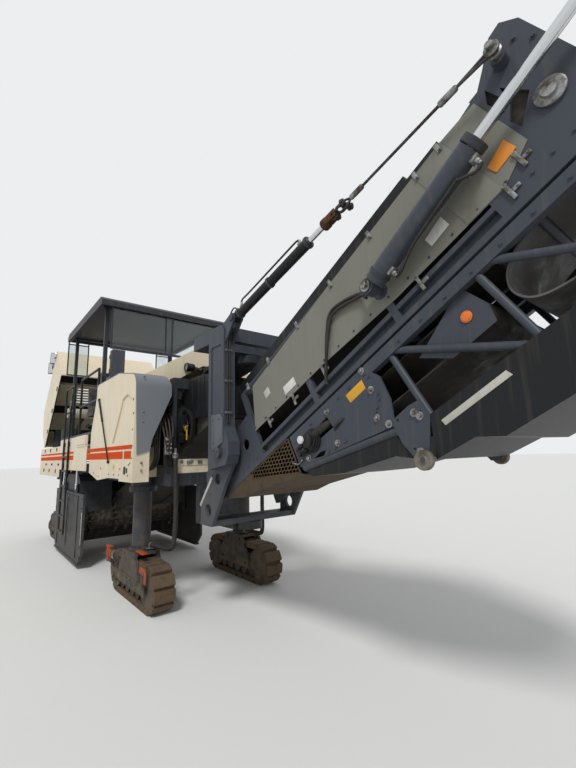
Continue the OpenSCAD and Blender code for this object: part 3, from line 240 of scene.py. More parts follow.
def open_foam(name, colour, hollow_colour):
    """Foam moulded in pimples about 30 mm apart."""
    made, tree, place = new_material(name)
    cells = add(tree, "TexVoronoi", {"Vector": place, "Scale": per_metre(30.3)})
    now = add(tree, "Mix", {0: cells, 6: linear(colour), 7: linear(hollow_colour)}, 2, data_type="RGBA")
    return close(made, {"Base Color": now, "Roughness": 0.95, "Normal": add(
        tree, "Bump", {"Height": cells, "Strength": 0.5, "Distance": 0.008})})


# Each finish: its function, the material's name and that function's values
FINISHES = {
    # Two-pack paint on frames, dark and satin: edges catch a soft light and flats look almost black
    # dark_steel's near-black is partly painted shade: besides the frames' own dark paint, it stands for the shadow
    # on the front leg columns
    "dark_steel": (paint, "satin_frame_paint_with_painted_shade", "#303338", 0.48, 0.0, 0.4, 1.6, 0.2),
    "black_paint": (paint, "black_satin_paint", "#191a1c", 0.45, 0.0, 0.3, 1.6, 0.15),
    "grey_steel": (paint, "grey_machine_paint", "#3a3c40", 0.5, 0.0, 0.6, 2.0, 0.25),
    "blue_grey_steel": (paint, "blue_grey_satin_paint", "#40454d", 0.46, 0.0, 0.5, 2.0, 0.22),
    # Panel paint: warm cream with a weak coat of gloss left, and a greenish grey gone matt
    "cream_paint": (paint, "cream_gloss_paint", "#dccfb4", 0.42, 0.08, 0.45, 2.3, 0.16),
    "grey_paint": (paint, "light_grey_paint", "#767a7f", 0.48, 0.0, 0.35, 2.1, 0.12),
    "grey_green_paint": (paint, "grey_green_panel_paint", "#797970", 0.48, 0.0, 0.45, 2.6, 0.25),
    # Faded orange has no shine left, so that the pale sky doesn't turn it pink at a flat angle
    "orange_paint": (paint, "faded_orange_paint", "#cf4812", 0.6, 0.0, 0.12, 2.1, 0.14, 0.03),
    # Heatproof paint bakes to a chalky beige
    "muffler_steel": (paint, "heatproof_paint", "#b7ae9b", 0.6, 0.0, 0.3, 3.4, 0.3),
    # Painted castings near the ground are mostly dust
    "dusty_steel": (paint, "dusty_cast_steel", "#35332f", 0.6, 0.0, 0.75, 1.2, 0.3),
    # Vulcanised rubber: polished black where the load slides, brown and matt where dust lies
    "belt_rubber": (dusty_rubber, "conveyor_rubber", "#1c1d1f", "#4b443b", 0.22, 120, 0.5),
    "dusty_track": (dusty_rubber, "dusty_track_shoes", "#2e2721", "#5f4e3c", 0.5, 70, 0.9),
    "tray_rubber": (dusty_rubber, "tray_rubber", "#2c261f", "#4f4333", 0.5, 140, 0.85),
    # Steel without paint: worn bright by the road, or rolled and drawn with brown in its hollows
    "worn_steel": (bare_steel, "worn_drum_steel", "#77726a", 0.4),
    "mesh_steel": (bare_steel, "expanded_mesh_steel", "#6a5a40", 0.6, 30),
    # Hard chrome mirrors the sky in a long streak
    "chrome_rod": (smooth_mirror, "hard_chromed_rod", "#d3d5d8", 4, 3.0, 0.3, 0.7, 0.14, 0.26),
    # Nearly clear, and seen mostly by its reflections
    "tinted_glass": (tinted_glass, "tinted_safety_glass", "#dde6e8"),
    # Zinc plating is pale and spangled, rope wire dull and oily, and a forging rusts all over
    "zinc": (bare_steel, "zinc_plated_steel", "#a7a9a9", 0.38, 8),
    "rope": (bare_steel, "drawn_rope_wire", "#5c5e60", 0.5, 5),
    "rust": (bare_steel, "rusty_forged_steel", "#6a4632", 0.75, 18),
    "wheel_cast": (bare_steel, "cast_wheel_iron", "#8d867b", 0.6, 22),
    # Extruded hose cover, dull black
    "hose": (dusty_rubber, "hydraulic_hose_rubber", "#18191b", "#3f3a34", 0.15, 40, 0.5),
    # Slack belt: the same black rubber as the head run, but its pale grey base is painted sheen; its lighter
    # patches are road dust
    "slack_rubber_painted_sheen": (dusty_rubber, "slack_belt_rubber_painted_sheen", "#5a5c60", "#6c6964", 0.3, 260, 0.28),
    "seat_cover": (dusty_rubber, "embossed_seat_vinyl", "#26282b", "#4a4640", 0.15, 25, 0.55),
    # Enamelled plates and strips keep their colour and a little gloss
    "white_plate": (paint, "white_enamelled_plate", "#d9d9d2", 0.4, 0.1, 0.25, 4.5, 0.25),
    "yellow_plate": (paint, "yellow_enamelled_plate", "#d9a02e", 0.4, 0.1, 0.25, 4.5, 0.2),
    "orange_plate": (paint, "orange_enamelled_plate", "#d98a35", 0.4, 0.1, 0.2, 4.5, 0.2),
    "gantry_plate": (paint, "blue_grey_cover_paint", "#585c63", 0.45, 0.1, 0.4, 2.0, 0.3),
    "pale_strip": (paint, "pale_wear_strip", "#b9b8ae", 0.5, 0.0, 0.3, 2.5, 0.3),
    "worn_orange": (paint, "worn_orange_paint", "#a94421", 0.6, 0.0, 0.7, 1.6, 0.3, 0.08),
    # Moulded acrylic glows in its own colour, and the lamp's is almost clear
    "reflector": (moulded_lens, "amber_reflector_lens", "#ff8a2a", 0.35),
    "lamp_glass": (moulded_lens, "clear_lamp_lens", "#dfe6ea", 0.85),
    # Silvered glass shows the sky, with a few wiped marks
    "mirror": (smooth_mirror, "silvered_mirror_glass", "#c9ced2", 90, 4.0, 0.4, 0.7, 0.03, 0.1),
    # Foam swallows the light under the hood
    "foam": (open_foam, "sound_damping_foam", "#2c2d2f", "#17181a"),
}
made_finishes = {}


def finish(name):
    """A finish's material, made the first time it is asked for."""
    if name not in made_finishes:
        make, *values = FINISHES[name]
        made_finishes[name] = make(*values)
    return made_finishes[name]


def at(x, y, z):
    """A place in millimetres, as in the construction, in the frame's metres."""
    return Vector((x / 1000 + SHIFT, y / 1000, z / 1000))


def on_belt(s, h, y):
    """A place on the conveyor: s up along it from the luffing pin, h square to it."""
    return at(LUFF_X, y, LUFF_Z) + ALONG * (s / 1000) + ABOVE * (h / 1000)


def evenly(count, first=0.0):
    """Angles of so many even steps round a circle."""
    return [first + i * math.tau / count for i in range(count)]


def placed(way, start, *steps):
    """A place so many millimetres along each direction from a start."""
    for direction, length in zip(way, steps):
        start = start + direction * (length / 1000)
    return start


def stay(side):
    """A luffing stay: its foot on the gantry, its direction, the square above it, and its length in mm."""
    low, high = at(STAY_FOOT[0], side * STAY_Y, STAY_FOOT[1]), on_belt(*STAY_HEAD, side * STAY_Y)
    way = (high - low).normalized()
    return low, way, Y.cross(way) * -1, (high - low).length * 1000


def edges_of(corners):
    """The edges that meet at these corners, each once and in the same order every run."""
    return list(dict.fromkeys(edge for corner in corners for edge in corner.link_edges))


def slab(made, centre, size, axes=SQUARE, bevel=2.0, segments=2):
    """A block with rounded edges; its size is in millimetres along its own axes."""
    turn = Matrix(axes).transposed().to_4x4()
    scale = Matrix.Diagonal((*(value / 1000 for value in size), 1))
    new = bmesh.ops.create_cube(made, size=1, matrix=Matrix.Translation(centre) @ turn @ scale)
    if bevel:
        edges = edges_of(new["verts"])
        bmesh.ops.bevel(made, geom=edges, offset=bevel / 1000, segments=segments, profile=0.5,
                        affect="EDGES", material=-1, clamp_overlap=True)


def lathe(made, start, direction, profile, steps=28):
    """A turned shape: its profile lists places along the axis and radii there, in millimetres."""
    direction = Vector(direction).normalized()
    out = direction.orthogonal().normalized()
    line = [made.verts.new(start + direction * (along / 1000) + out * (radius / 1000))
            for along, radius in profile]
    edges = [made.edges.new(pair) for pair in zip(line, line[1:])]
    bmesh.ops.spin(made, geom=line + edges, cent=start, axis=direction, angle=math.tau, steps=steps,
                   use_merge=True, use_duplicate=False)


def barrel(made, start, end, radius, edge=2.0, steps=28):
    """A round bar between two places, with chamfered ends."""
    length = (end - start).length * 1000
    lathe(made, start, end - start, [(0, 0), (0, radius - edge), (edge, radius), (length - edge, radius),
                                     (length, radius - edge), (length, 0)], steps)


def bolt(made, place, direction, across=24):
    """A chamfered hexagon head on its washer."""
    out = Vector(direction).normalized()
    lathe(made, place, out, [(0, 0), (0, across * 0.95), (across * 0.14, across * 0.95),
                             (across * 0.16, across * 0.5), (across * 0.16, 0)], 20)
    lathe(made, place + out * (across * 0.00015), out,
          [(0, 0), (0, across * 0.577), (across * 0.5, across * 0.577), (across * 0.6, across * 0.48),
           (across * 0.6, 0)], 6)


def ring(made, centre, axis, radius, tube, start=None, angle=math.tau, steps=32, sides=12):
    """A round bar bent about an axis: a whole ring, or a bow of that angle from a direction."""
    axis = Vector(axis).normalized()
    out = Vector(start).normalized() if start else axis.orthogonal().normalized()
    frame_of = Matrix((out, axis, out.cross(axis))).transposed().to_4x4()
    turn = Matrix.Translation(centre + out * (radius / 1000)) @ frame_of
    new = bmesh.ops.create_circle(made, cap_ends=angle < math.tau, segments=sides, radius=tube / 1000,
                                  matrix=turn)
    edges = edges_of(new["verts"])
    bmesh.ops.spin(made, geom=new["verts"] + edges, cent=centre, axis=axis, angle=angle, steps=steps,
                   use_merge=angle == math.tau, use_duplicate=False)


def plate(made, corners, thickness, bevel=0.0):
    """A flat plate: the places of its corners, and its thickness as a vector."""
    face = made.faces.new([made.verts.new(corner) for corner in corners])
    new = bmesh.ops.extrude_face_region(made, geom=[face])
    moved = [part for part in new["geom"] if isinstance(part, bmesh.types.BMVert)]
    bmesh.ops.translate(made, vec=thickness, verts=moved)
    if bevel:
        edges = edges_of(moved)
        bmesh.ops.bevel(made, geom=edges, offset=bevel / 1000, segments=2, profile=0.5, affect="EDGES",
                        material=-1, clamp_overlap=True)


def ride_on(piece, body):
    """Links a piece and makes it ride on a body."""
    bpy.context.scene.collection.objects.link(piece)
    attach(piece, body)
    return piece


def settle(made, name, body, material, sharp=35.0):
    """Turns a bmesh into a piece that rides on a body, smooth apart from its sharp edges."""
    bmesh.ops.remove_doubles(made, verts=made.verts, dist=0.000005)
    bmesh.ops.recalc_face_normals(made, faces=made.faces)
    mesh = bpy.data.meshes.new(name)
    made.to_mesh(mesh)
    made.free()
    mesh.materials.append(finish(material))
    mesh.shade_smooth()
    mesh.set_sharp_from_angle(angle=math.radians(sharp))
    return ride_on(bpy.data.objects.new(name, mesh), body)


def smooth_route(points, step):
    """Places every few millimetres along a smooth curve through the points."""
    ends = [points[0] * 2 - points[1], *points, points[-1] * 2 - points[-2]]
    route = []
    for a, b, c, d in zip(ends, ends[1:], ends[2:], ends[3:]):
        count = max(2, round((c - b).length * 1000 / step))
        for i in range(count):
            t = i / count
            route.append(0.5 * (2 * b + (c - a) * t + (2 * a - 5 * b + 4 * c - d) * t ** 2
                                + (3 * b - a - 3 * c + d) * t ** 3))
    return route + [points[-1]]


def hoses(name, body, material, routes, diameter, ribs=0.0):
    """Hoses or pipes along smooth routes; ribs is the distance of a ribbed hose's rings."""
    curve = bpy.data.curves.new(name, "CURVE")
    curve.dimensions = "3D"
    curve.bevel_depth = diameter / 2000
    curve.bevel_resolution = 3
    curve.use_fill_caps = True
    for route in routes:
        places = smooth_route(route, ribs / 2 if ribs else 25)
        spline = curve.splines.new("POLY")
        spline.points.add(len(places) - 1)
        for i, (point, place) in enumerate(zip(spline.points, places)):
            point.co = (*place, 1)
            point.radius = 0.84 if ribs and i % 2 else 1.0
    curve.materials.append(finish(material))
    return ride_on(bpy.data.objects.new(name, curve), body)


def strip(made, path, y0, y1, thickness):
    """A band of rubber or sheet across the machine, along a path of places on the conveyor."""
    places = smooth_route([on_belt(s, h, y0) for s, h in path], 40)
    line = [made.verts.new(place) for place in places]
    edges = [made.edges.new(pair) for pair in zip(line, line[1:])]
    new = bmesh.ops.extrude_edge_only(made, edges=edges)
    moved = [part for part in new["geom"] if isinstance(part, bmesh.types.BMVert)]
    bmesh.ops.translate(made, vec=Y * ((y1 - y0) / 1000), verts=moved)
    faces = [part for part in new["geom"] if isinstance(part, bmesh.types.BMFace)]
    bmesh.ops.recalc_face_normals(made, faces=faces)
    bmesh.ops.solidify(made, geom=faces, thickness=thickness / 1000)


class PlanerRopes(bpy.types.PropertyGroup):
    strand: FloatProperty(name="Strand", description="Diameter of one strand in mm", default=8.0, min=4,
                          max=10)
    lay: FloatProperty(name="Lay", description="Length of one turn of a strand in mm", default=150.0,
                       min=80)
    sleeve: FloatProperty(name="Sleeve", description="Radius of the pressed rope sleeves in mm",
                          default=22.0, min=16, max=30)


class PlanerFittings(bpy.types.PropertyGroup):
    bolt: FloatProperty(name="Bolt", description="Width across the flats of the large bolts in mm",
                        default=30.0, min=10, max=50)
    screw: FloatProperty(name="Screw", description="Width of the small screws in mm", default=16.0, min=6,
                         max=30)
    hose: FloatProperty(name="Hose", description="Diameter of the hydraulic hoses in mm", default=26.0,
                        min=12, max=50)
    conduit: FloatProperty(name="Conduit", description="Diameter of the ribbed conduits in mm",
                           default=75.0, min=40, max=100)


class PlanerGuard(bpy.types.PropertyGroup):
    cell: FloatProperty(name="Cell", description="Half length of a mesh opening in mm", default=30.0,
                        min=15)
    cell_height: FloatProperty(name="Cell height", description="Half height of an opening in mm",
                               default=22.0, min=10)
    strand: FloatProperty(name="Strand", description="Half width of the mesh's strands in mm", default=4.5,
                          min=2)


class PlanerStage(bpy.types.PropertyGroup):
    floor_colour: FloatVectorProperty(name="Floor", description="Colour of the studio floor",
                                      subtype="COLOR", size=3, default=linear("#dcdcd9")[:3])
    lens: FloatProperty(name="Lens", description="Focal length of the photograph's camera", default=18.64,
                        min=10, max=80, unit="CAMERA")
    key_strength: FloatProperty(name="Key light", description="Strength of the sun lamp", default=2.0,
                                min=0)
    sky_strength: FloatProperty(name="Sky light", description="Strength of the even light", default=0.62,
                                min=0)


class PLANER_OT_finishes(bpy.types.Operator):
    """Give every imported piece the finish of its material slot"""
    bl_idname = "planer.finishes"
    bl_label = "Finishes"

    def execute(self, context):
        for part in frame["record"]["subparts"]:
            piece = NODES[part["node"]]
            piece.data.materials.clear()
            piece.data.materials.append(finish(part["material_slot"]))
        return {"FINISHED"}


class PLANER_OT_ropes(bpy.types.Operator):
    """Luffing stays: chromed rods, shackles and stranded wire ropes with their thimbles"""
    bl_idname = "planer.ropes"
    bl_label = "Luffing ropes"

    def execute(self, context):
        sizes = context.scene.planer_ropes
        for side, tag in SIDES:
            low, way, lift, length = stay(side)

            def along(t, up=0.0, out=0.0):
                return placed((way, lift, Y), low, t, up, out)

            # Pins of the rod's eye and of the rope's thimble, in mm from the stay's foot
            eye_pin, rope_pin = 1579, 1704
            rod = bmesh.new()
            barrel(rod, along(480), along(1460), 25)
            piece = settle(rod, f"stay_rod_{tag}", f"luff_rod_{tag}", "chrome_rod")
            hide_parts(f"luff_rod_{tag}")
            eye = bmesh.new()
            lathe(eye, along(1444), way, [(0, 26), (0, 44), (10, 50), (52, 50), (62, 42), (72, 40),
                                          (82, 26)])
            for out in (-26, 26):
                slab(eye, along(1556, 0, out), (110, 16, 70), (way, Y, lift), 6)
            barrel(eye, along(eye_pin, 0, -48), along(eye_pin, 0, 48), 14)
            bolt(eye, along(eye_pin, 0, 46), Y, 30)
            slab(eye, along(1526), (40, 50, 64), (way, Y, lift), 8)
            settle(eye, f"stay_eye_{tag}", f"luff_rod_{tag}", "rust")
            shackle = bmesh.new()
            ring(shackle, along(eye_pin), Y, 30, 13, way, math.tau, 24)
            ring(shackle, along(rope_pin - 55), lift, 34, 13, Y, math.pi, 16)
            ring(shackle, along(rope_pin - 55), lift, 34, 13, -Y, math.pi, 16)
            for out in (-34, 34):
                barrel(shackle, along(rope_pin - 65, 0, out), along(rope_pin, 0, out), 13)
            barrel(shackle, along(rope_pin, 0, -62), along(rope_pin, 0, 62), 14)
            for out in (-34, 34):
                lathe(shackle, along(rope_pin, 0, out - 14), Y,
                      [(0, 0), (0, 24), (5, 27), (23, 27), (28, 24), (28, 0)])
            bolt(shackle, along(rope_pin, 0, 58), Y, 34)
            settle(shackle, f"shackle_{tag}", f"luff_rod_{tag}", "rope")
            rope = bmesh.new()
            first, last = rope_pin + 160.0, length - 330
            turns = (last - first) / sizes.lay
            steps = round(turns * 14)
            for strand in range(6):
                angle = strand * math.tau / 6
                out = lift * math.cos(angle) + Y * math.sin(angle)
                place = along(first) + out * (sizes.strand * 0.9 / 1000)
                turn = Matrix((out, way.cross(out), way)).transposed().to_4x4()
                new = bmesh.ops.create_circle(rope, cap_ends=False, segments=6, radius=sizes.strand / 2000,
                                              matrix=Matrix.Translation(place) @ turn)
                edges = edges_of(new["verts"])
                bmesh.ops.spin(rope, geom=new["verts"] + edges, cent=low, axis=way,
                               dvec=way * ((last - first) / 1000 / steps), angle=turns * math.tau,
                               steps=steps, use_duplicate=False)
            settle(rope, f"wire_rope_{tag}", f"luff_rod_{tag}", "rope")
            sleeves = bmesh.new()
            r = sizes.sleeve
            for t in (rope_pin + 60, length - 360):
                lathe(sleeves, along(t), way, [(0, 11), (0, r - 6), (10, r), (120, r), (132, r - 6),
                                               (132, 11)])
            settle(sleeves, f"rope_sleeves_{tag}", f"luff_rod_{tag}", "zinc")
            loops = []
            eye_half = ((40, 14), (18, 26), (-6, 30), (-26, 16), (-32, 0))
            for end, sign, tail in ((rope_pin, 1, 70), (length, -1, 230)):
                bow = [along(end + sign * t, up) for t, up in eye_half]
                back = [along(end + sign * t, -up) for t, up in reversed(eye_half[:-1])]
                loops.append([along(end + sign * tail), *bow, *back, along(end + sign * tail)])
            hoses(f"rope_eyes_{tag}", f"luff_rod_{tag}", "rope", loops, 20)
            pin = bmesh.new()
            lathe(pin, along(length, 0, -26), Y, [(0, 22), (0, 40), (8, 45), (14, 34), (38, 34), (44, 45),
                                                  (52, 40), (52, 22)])
            barrel(pin, along(length, 0, -side * 60 - 2), along(length, 0, side * 58), 22)
            settle(pin, f"stay_pin_{tag}", f"luff_rod_{tag}", "zinc")
        return {"FINISHED"}


class PLANER_OT_cylinders(bpy.types.Operator):
    """Glands, ports, hoses and eyes of the luffing and the folding cylinders"""
    bl_idname = "planer.cylinders"
    bl_label = "Cylinder fittings"

    def execute(self, context):
        sizes = context.scene.planer_fittings
        for side, tag in SIDES:
            low, way, up, _ = stay(side)
            bands, ports = bmesh.new(), bmesh.new()
            for t in (85, 640, 1225):
                lathe(bands, low + way * (t / 1000), way, [(0, 47.6), (0, 53), (4, 56), (26, 56), (30, 53),
                                                              (30, 47.6)])
            lathe(bands, low + way * 1.251, way, [(0, 26.5), (0, 47.4), (2, 47.4), (8, 44), (18, 30),
                                                  (18, 26.5)])
            settle(bands, f"stay_bands_{tag}", f"luff_barrel_{tag}", "grey_steel")
            for t in (150, 1150):
                slab(ports, low + way * (t / 1000) + up * 0.056, (44, 40, 30), (way, Y, up), 4)
                lathe(ports, low + way * (t / 1000) + up * 0.07, up,
                      [(0, 0), (0, 16), (18, 16), (20, 12), (34, 12), (34, 0)], 12)
            settle(ports, f"stay_ports_{tag}", f"luff_barrel_{tag}", "zinc")
            line = [(150, 104, 0), (190, 118, -10), (400, 66, -52), (800, 62, -54), (1040, 66, -50),
                    (1120, 112, -8), (1150, 104, 0)]
            hoses(f"stay_hose_{tag}", f"luff_barrel_{tag}", "hose",
                  [[placed((way, up, Y), low, t, u, -side * o) for t, u, o in line]], 18)
            # Folding cylinder: gland, ports at both ends and the eye on its boss
            base, tip = on_belt(*FOLD_FOOT, side * FOLD_Y), on_belt(*FOLD_HEAD, side * FOLD_Y)
            run = (tip - base).normalized()
            over = Y.cross(run) * -1
            lo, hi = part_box(f"fold_barrel_{tag}")
            length = (hi[0] - lo[0]) / run.x * 1000 - 60
            gland = bmesh.new()
            lathe(gland, base + run * ((length - 62) / 1000), run,
                  [(0, 75.4), (0, 80), (4, 83), (48, 83), (52, 80), (52, 75.4)])
            lathe(gland, base + run * 0.11, run, [(0, 75.4), (0, 81), (20, 81), (20, 75.4)])
            settle(gland, f"fold_gland_{tag}", f"fold_barrel_{tag}", "grey_steel")
            port = bmesh.new()
            for t in (190, length - 100):
                place = base + run * (t / 1000) + over * -0.076
                slab(port, place, (60, 54, 34), (run, Y, over), 5)
                lathe(port, place, over * -1, [(10, 0), (10, 19), (44, 19), (46, 14), (62, 14), (62, 0)],
                      12)
            bolt(port, on_belt(*FOLD_FOOT, side * 676), Y * side, 44)
            settle(port, f"fold_ports_{tag}", f"fold_barrel_{tag}", "zinc")
            inside = [(190, -140, 0), (230, -158, -20), (420, -120, -40), (800, -98, -40),
                      (length - 240, -98, -40), (length - 150, -150, -10), (length - 100, -138, 0)]
            hoses(f"fold_hose_{tag}", f"fold_barrel_{tag}", "hose",
                  [[placed((run, over, Y), base, t, u, -side * o) for t, u, o in inside]],
                  sizes.hose * 0.8)
            feed = [[on_belt(s, h, side * (v + k * 4)) for s, h, v in
                     ((2250, 30 + k * 30, 560), (2189, 142 - k * 30, 535), (1918, 242 - k * 36, 530),
                      (1770, 120 - k * 30, 528), (1624, -95, 524), (1560, -170, 512), (1532, -235, 508))]
                    for k in range(2)]
            hoses(f"panel_hoses_{tag}", "inner_conveyor", "hose", feed, sizes.hose)
        return {"FINISHED"}


class PLANER_OT_panel_fittings(bpy.types.Operator):
    """Clamps, catches and blank plates on the conveyor's side panels, and the screws of its channels"""
    bl_idname = "planer.panel_fittings"
    bl_label = "Conveyor panel fittings"

    def execute(self, context):
        sizes = context.scene.planer_fittings
        clamps, screws, catches, skirt = bmesh.new(), bmesh.new(), bmesh.new(), bmesh.new()
        for side, tag in SIDES:
            out = Y * side
            for s in (560, 985, 1500, 2010, 2510, 3010, 3215):
                slab(clamps, on_belt(s, 476, side * 505), (34, 20, 86), BELT_AXES, 5)
                lathe(clamps, on_belt(s, 480, side * 470), ALONG,
                      [(-17, 28.5), (-17, 34), (17, 34), (17, 28.5)], 20)
                bolt(clamps, on_belt(s, 448, side * 514), out, sizes.screw)
            # Catches that hold the panel down on the channel
            for s, h in ((700, -62), (1120, -88), (1560, -112), (2608, -196), (3300, -196), (3440, -90)):
                slab(catches, on_belt(s, h, side * 511), (26, 16, 120), BELT_AXES, 5)
                slab(catches, on_belt(s + 34, h - 6, side * 509), (58, 10, 26), BELT_AXES, 3)
                ring(catches, on_belt(s, h + 52, side * 518), Y, 12, 4, steps=18, sides=8)
                bolt(catches, on_belt(s + 46, h - 6, side * 513), out, sizes.screw * 0.8)
            for s in range(470, 3500, 190):
                bolt(screws, on_belt(s, 14 - 0.052 * (s - 448) + 12, side * 506), out, sizes.screw * 0.7)
            for s in (-700, -620, -430, -350, -240, 60, 140, 330):
                bolt(screws, on_belt(s, -250, side * 500), out, sizes.screw)
            for s in range(3310, 3920, 120):
                bolt(screws, on_belt(s, -210, side * 500), out, sizes.screw)
            for s, h in ((3743, 150), (3743, 20), (3690, 78), (3800, 78), (3850, 560), (3770, 600),
                         (3900, 450), (3700, 520)):
                bolt(screws, on_belt(s, h, side * 500), out, sizes.bolt * 0.7)
            slab(skirt, on_belt(3715, 290, side * 452), (420, 8, 560), BELT_AXES, 2)
            lathe(clamps, on_belt(3743, 78, side * 500), out,
                  [(0, 0), (0, 78), (8, 82), (20, 82), (26, 74), (26, 46), (44, 42), (44, 0)])
            lap = bmesh.new()
            plate(lap, [on_belt(s, h, side * PANEL_SIDE) for s,
                        h in ((2996, 478), (3250, 499), (3290, -143), (3040, -140))], out * 0.004, 1.0)
            settle(lap, f"panel_lap_{tag}", "inner_conveyor", "grey_green_paint")
            for name, material, corners in (
                    ("orange_plate", "orange_plate", ((3312, 45), (3462, 98), (3474, -12), (3326, -32))),
                    ("white_plate", "white_plate", ((3215, 165), (3296, 194), (3302, 116), (3222, 93))),
                    ("long_plate", "white_plate", ((2798, 31), (2959, 66), (2966, -30), (2806, -48))),
                    ("small_plate_a", "pale_strip", ((760, 250), (850, 258), (856, 180), (766, 172))),
                    ("small_plate_b", "white_plate", ((1040, 104), (1215, 96), (1212, 14), (1037, 22)))):
                lift = 510.4 if corners[0][0] > 3000 else PANEL_SIDE
                sign = bmesh.new()
                plate(sign, [on_belt(s, h, side * lift) for s, h in corners], out * 0.0016, 0.5)
                mid_s, mid_h = (sum(values) / 4 for values in zip(*corners))
                for s, h in corners:
                    lathe(sign, on_belt(s * 0.9 + mid_s * 0.1, h * 0.9 + mid_h * 0.1, side * (lift + 1.4)),
                          out, [(0, 0), (0, 4), (1.4, 3), (2, 0)], 10)
                settle(sign, f"{name}_{tag}", "inner_conveyor", material)
        settle(skirt, "head_skirts", "inner_conveyor", "belt_rubber")
        settle(clamps, "panel_clamps", "inner_conveyor", "zinc")
        settle(catches, "panel_catches", "inner_conveyor", "zinc")
        settle(screws, "conveyor_screws", "inner_conveyor", "blue_grey_steel")
        return {"FINISHED"}


class PLANER_OT_head_fittings(bpy.types.Operator):
    """Belt drive, bolts and plates on the folded section's head, its wear strips and castor tyres"""
    bl_idname = "planer.head_fittings"
    bl_label = "Conveyor head fittings"

    def execute(self, context):
        sizes = context.scene.planer_fittings
        bolts, small, motor, caps = bmesh.new(), bmesh.new(), bmesh.new(), bmesh.new()
        for side, tag in SIDES:
            out = Y * side
            for s, h in ((1398, -412), (1371, -693), (1801, -740), (1867, -537), (1865, -833), (2075, -880),
                         (2101, -920), (1977, -1119), (1869, -360), (1010, -628)):
                bolt(bolts, on_belt(s, h, side * PLATE_Y), out, sizes.bolt)
            for s, h in ((1880, -400), (1900, -440), (1905, -600), (1890, -640), (1850, -680), (1820, -700),
                         (1250, -700), (1330, -714), (1450, -725), (940, -420), (1180, -392), (1560, -392),
                         (1700, -392), (900, -500), (905, -600)):
                bolt(small, on_belt(s, h, side * PLATE_Y), out, sizes.screw)
            for s in range(2250, 4100, 210):
                bolt(small, on_belt(s, -395, side * PLATE_Y), out, sizes.screw)
            # Motor of the belt with its ports, ring of bolts and pale cap
            lathe(motor, on_belt(1130, -525, side * 495.2), out,
                  [(0, 70.3), (0, 96), (6, 100), (16, 100), (20, 84), (30, 84), (34, 76), (52, 76),
                   (56, 60), (76, 60), (82, 48), (86, 0)])
            for turn in evenly(6):
                bolt(motor, on_belt(1130 + 88 * math.cos(turn), -525 + 88 * math.sin(turn), side * 504),
                     out, 18)
            slab(motor, on_belt(1040, -545, side * 530), (70, 60, 84), BELT_AXES, 6)
            slab(motor, on_belt(1000, -520, side * 520), (36, 44, 40), BELT_AXES, 4)
            for h in (-565, -530):
                barrel(motor, on_belt(1010, h, side * 560), on_belt(1062, h, side * 560), 15, 3)
            lathe(caps, on_belt(1086, -494, side * 578), out,
                  [(0, 0), (0, 30), (6, 34), (20, 34), (26, 28), (30, 0)])
            hoses(f"motor_conduit_{tag}", "outer_conveyor", "hose",
                  [[on_belt(s, h, side * y) for s, h, y in ((1175, -512, 520), (1250, -500, 505),
                                                            (1330, -492, 470), (1400, -486, 430),
                                                            (1480, -480, 405))]], sizes.conduit, 16)
            hoses(f"motor_hoses_{tag}", "outer_conveyor", "hose",
                  [[on_belt(s, h, side * y) for s, h, y in route] for route in (((1000, -565, 560),
                    (965, -575, 545), (935, -560, 510), (905, -520, 470)),
                    ((1000, -530, 560), (960, -520, 548), (930, -490, 505), (890, -470, 470)),
                    ((1560, -560, 470), (1490, -566, 502), (1420, -572, 506), (1385, -600, 470)))],
                  sizes.hose)
            hoses(f"end_pipe_{tag}", "outer_conveyor", "zinc",
                  [[on_belt(s, h, side * 502) for s, h in ((800, -560), (850, -600), (880, -610),
                                                           (940, -600))]], 14)
            for name, slot, material, lift, thick, bevel, corners in (
                    ("yellow_plate", "blue_grey_steel", "yellow_plate", 495.2, 0.0018, 0.5,
                     ((1641, -424), (1836, -418), (1834, -496), (1652, -502))),
                    ("belly_strip", "black_paint", "pale_strip", 500.4, 0.0035, 1.0,
                     ((2215, -1030), (2693, -1014), (2708, -1056), (2222, -1072)))):
                sign = bmesh.new()
                plate(sign, [on_belt(s, h, side * lift) for s, h in corners], out * thick, bevel)
                settle(sign, f"{name}_{tag}", "outer_conveyor", material)
            light = bmesh.new()
            lathe(light, on_belt(2690, -578, side * 446.2), out,
                  [(0, 0), (0, 34), (4, 38), (8, 38), (10, 33), (15, 30), (19, 18), (20, 0)])
            settle(light, f"round_reflector_{tag}", "outer_conveyor", "reflector")
            # Castor: tyre and hub
            lo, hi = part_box(f"wheel_{tag}")
            centre = (Vector(lo) + Vector(hi)) / 2
            wide, radius = (hi[1] - lo[1]) * 1000, (hi[2] - lo[2]) * 500
            tyre = bmesh.new()
            near = centre - Y * (wide / 2000)
            lathe(tyre, near, Y, [(3, 30), (3, radius * 0.72), (0, radius * 0.8), (0, radius * 0.93),
                                   (wide * 0.2, radius), (wide * 0.8, radius), (wide, radius * 0.93),
                                   (wide, radius * 0.8), (wide - 3, radius * 0.72), (wide - 3, 30)], 40)
            lathe(tyre, near, Y, [(0, 19), (0, 27), (4, 31), (wide - 4, 31), (wide, 27), (wide, 19),
                                  (0, 19)])
            piece = settle(tyre, f"castor_{tag}", f"wheel_{tag}", "wheel_cast")
            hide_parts(f"wheel_{tag}")
        settle(bolts, "head_bolts", "outer_conveyor", "zinc")
        settle(small, "head_screws", "outer_conveyor", "blue_grey_steel")
        settle(motor, "belt_motors", "outer_conveyor", "black_paint")
        settle(caps, "motor_caps", "outer_conveyor", "white_plate")
        return {"FINISHED"}


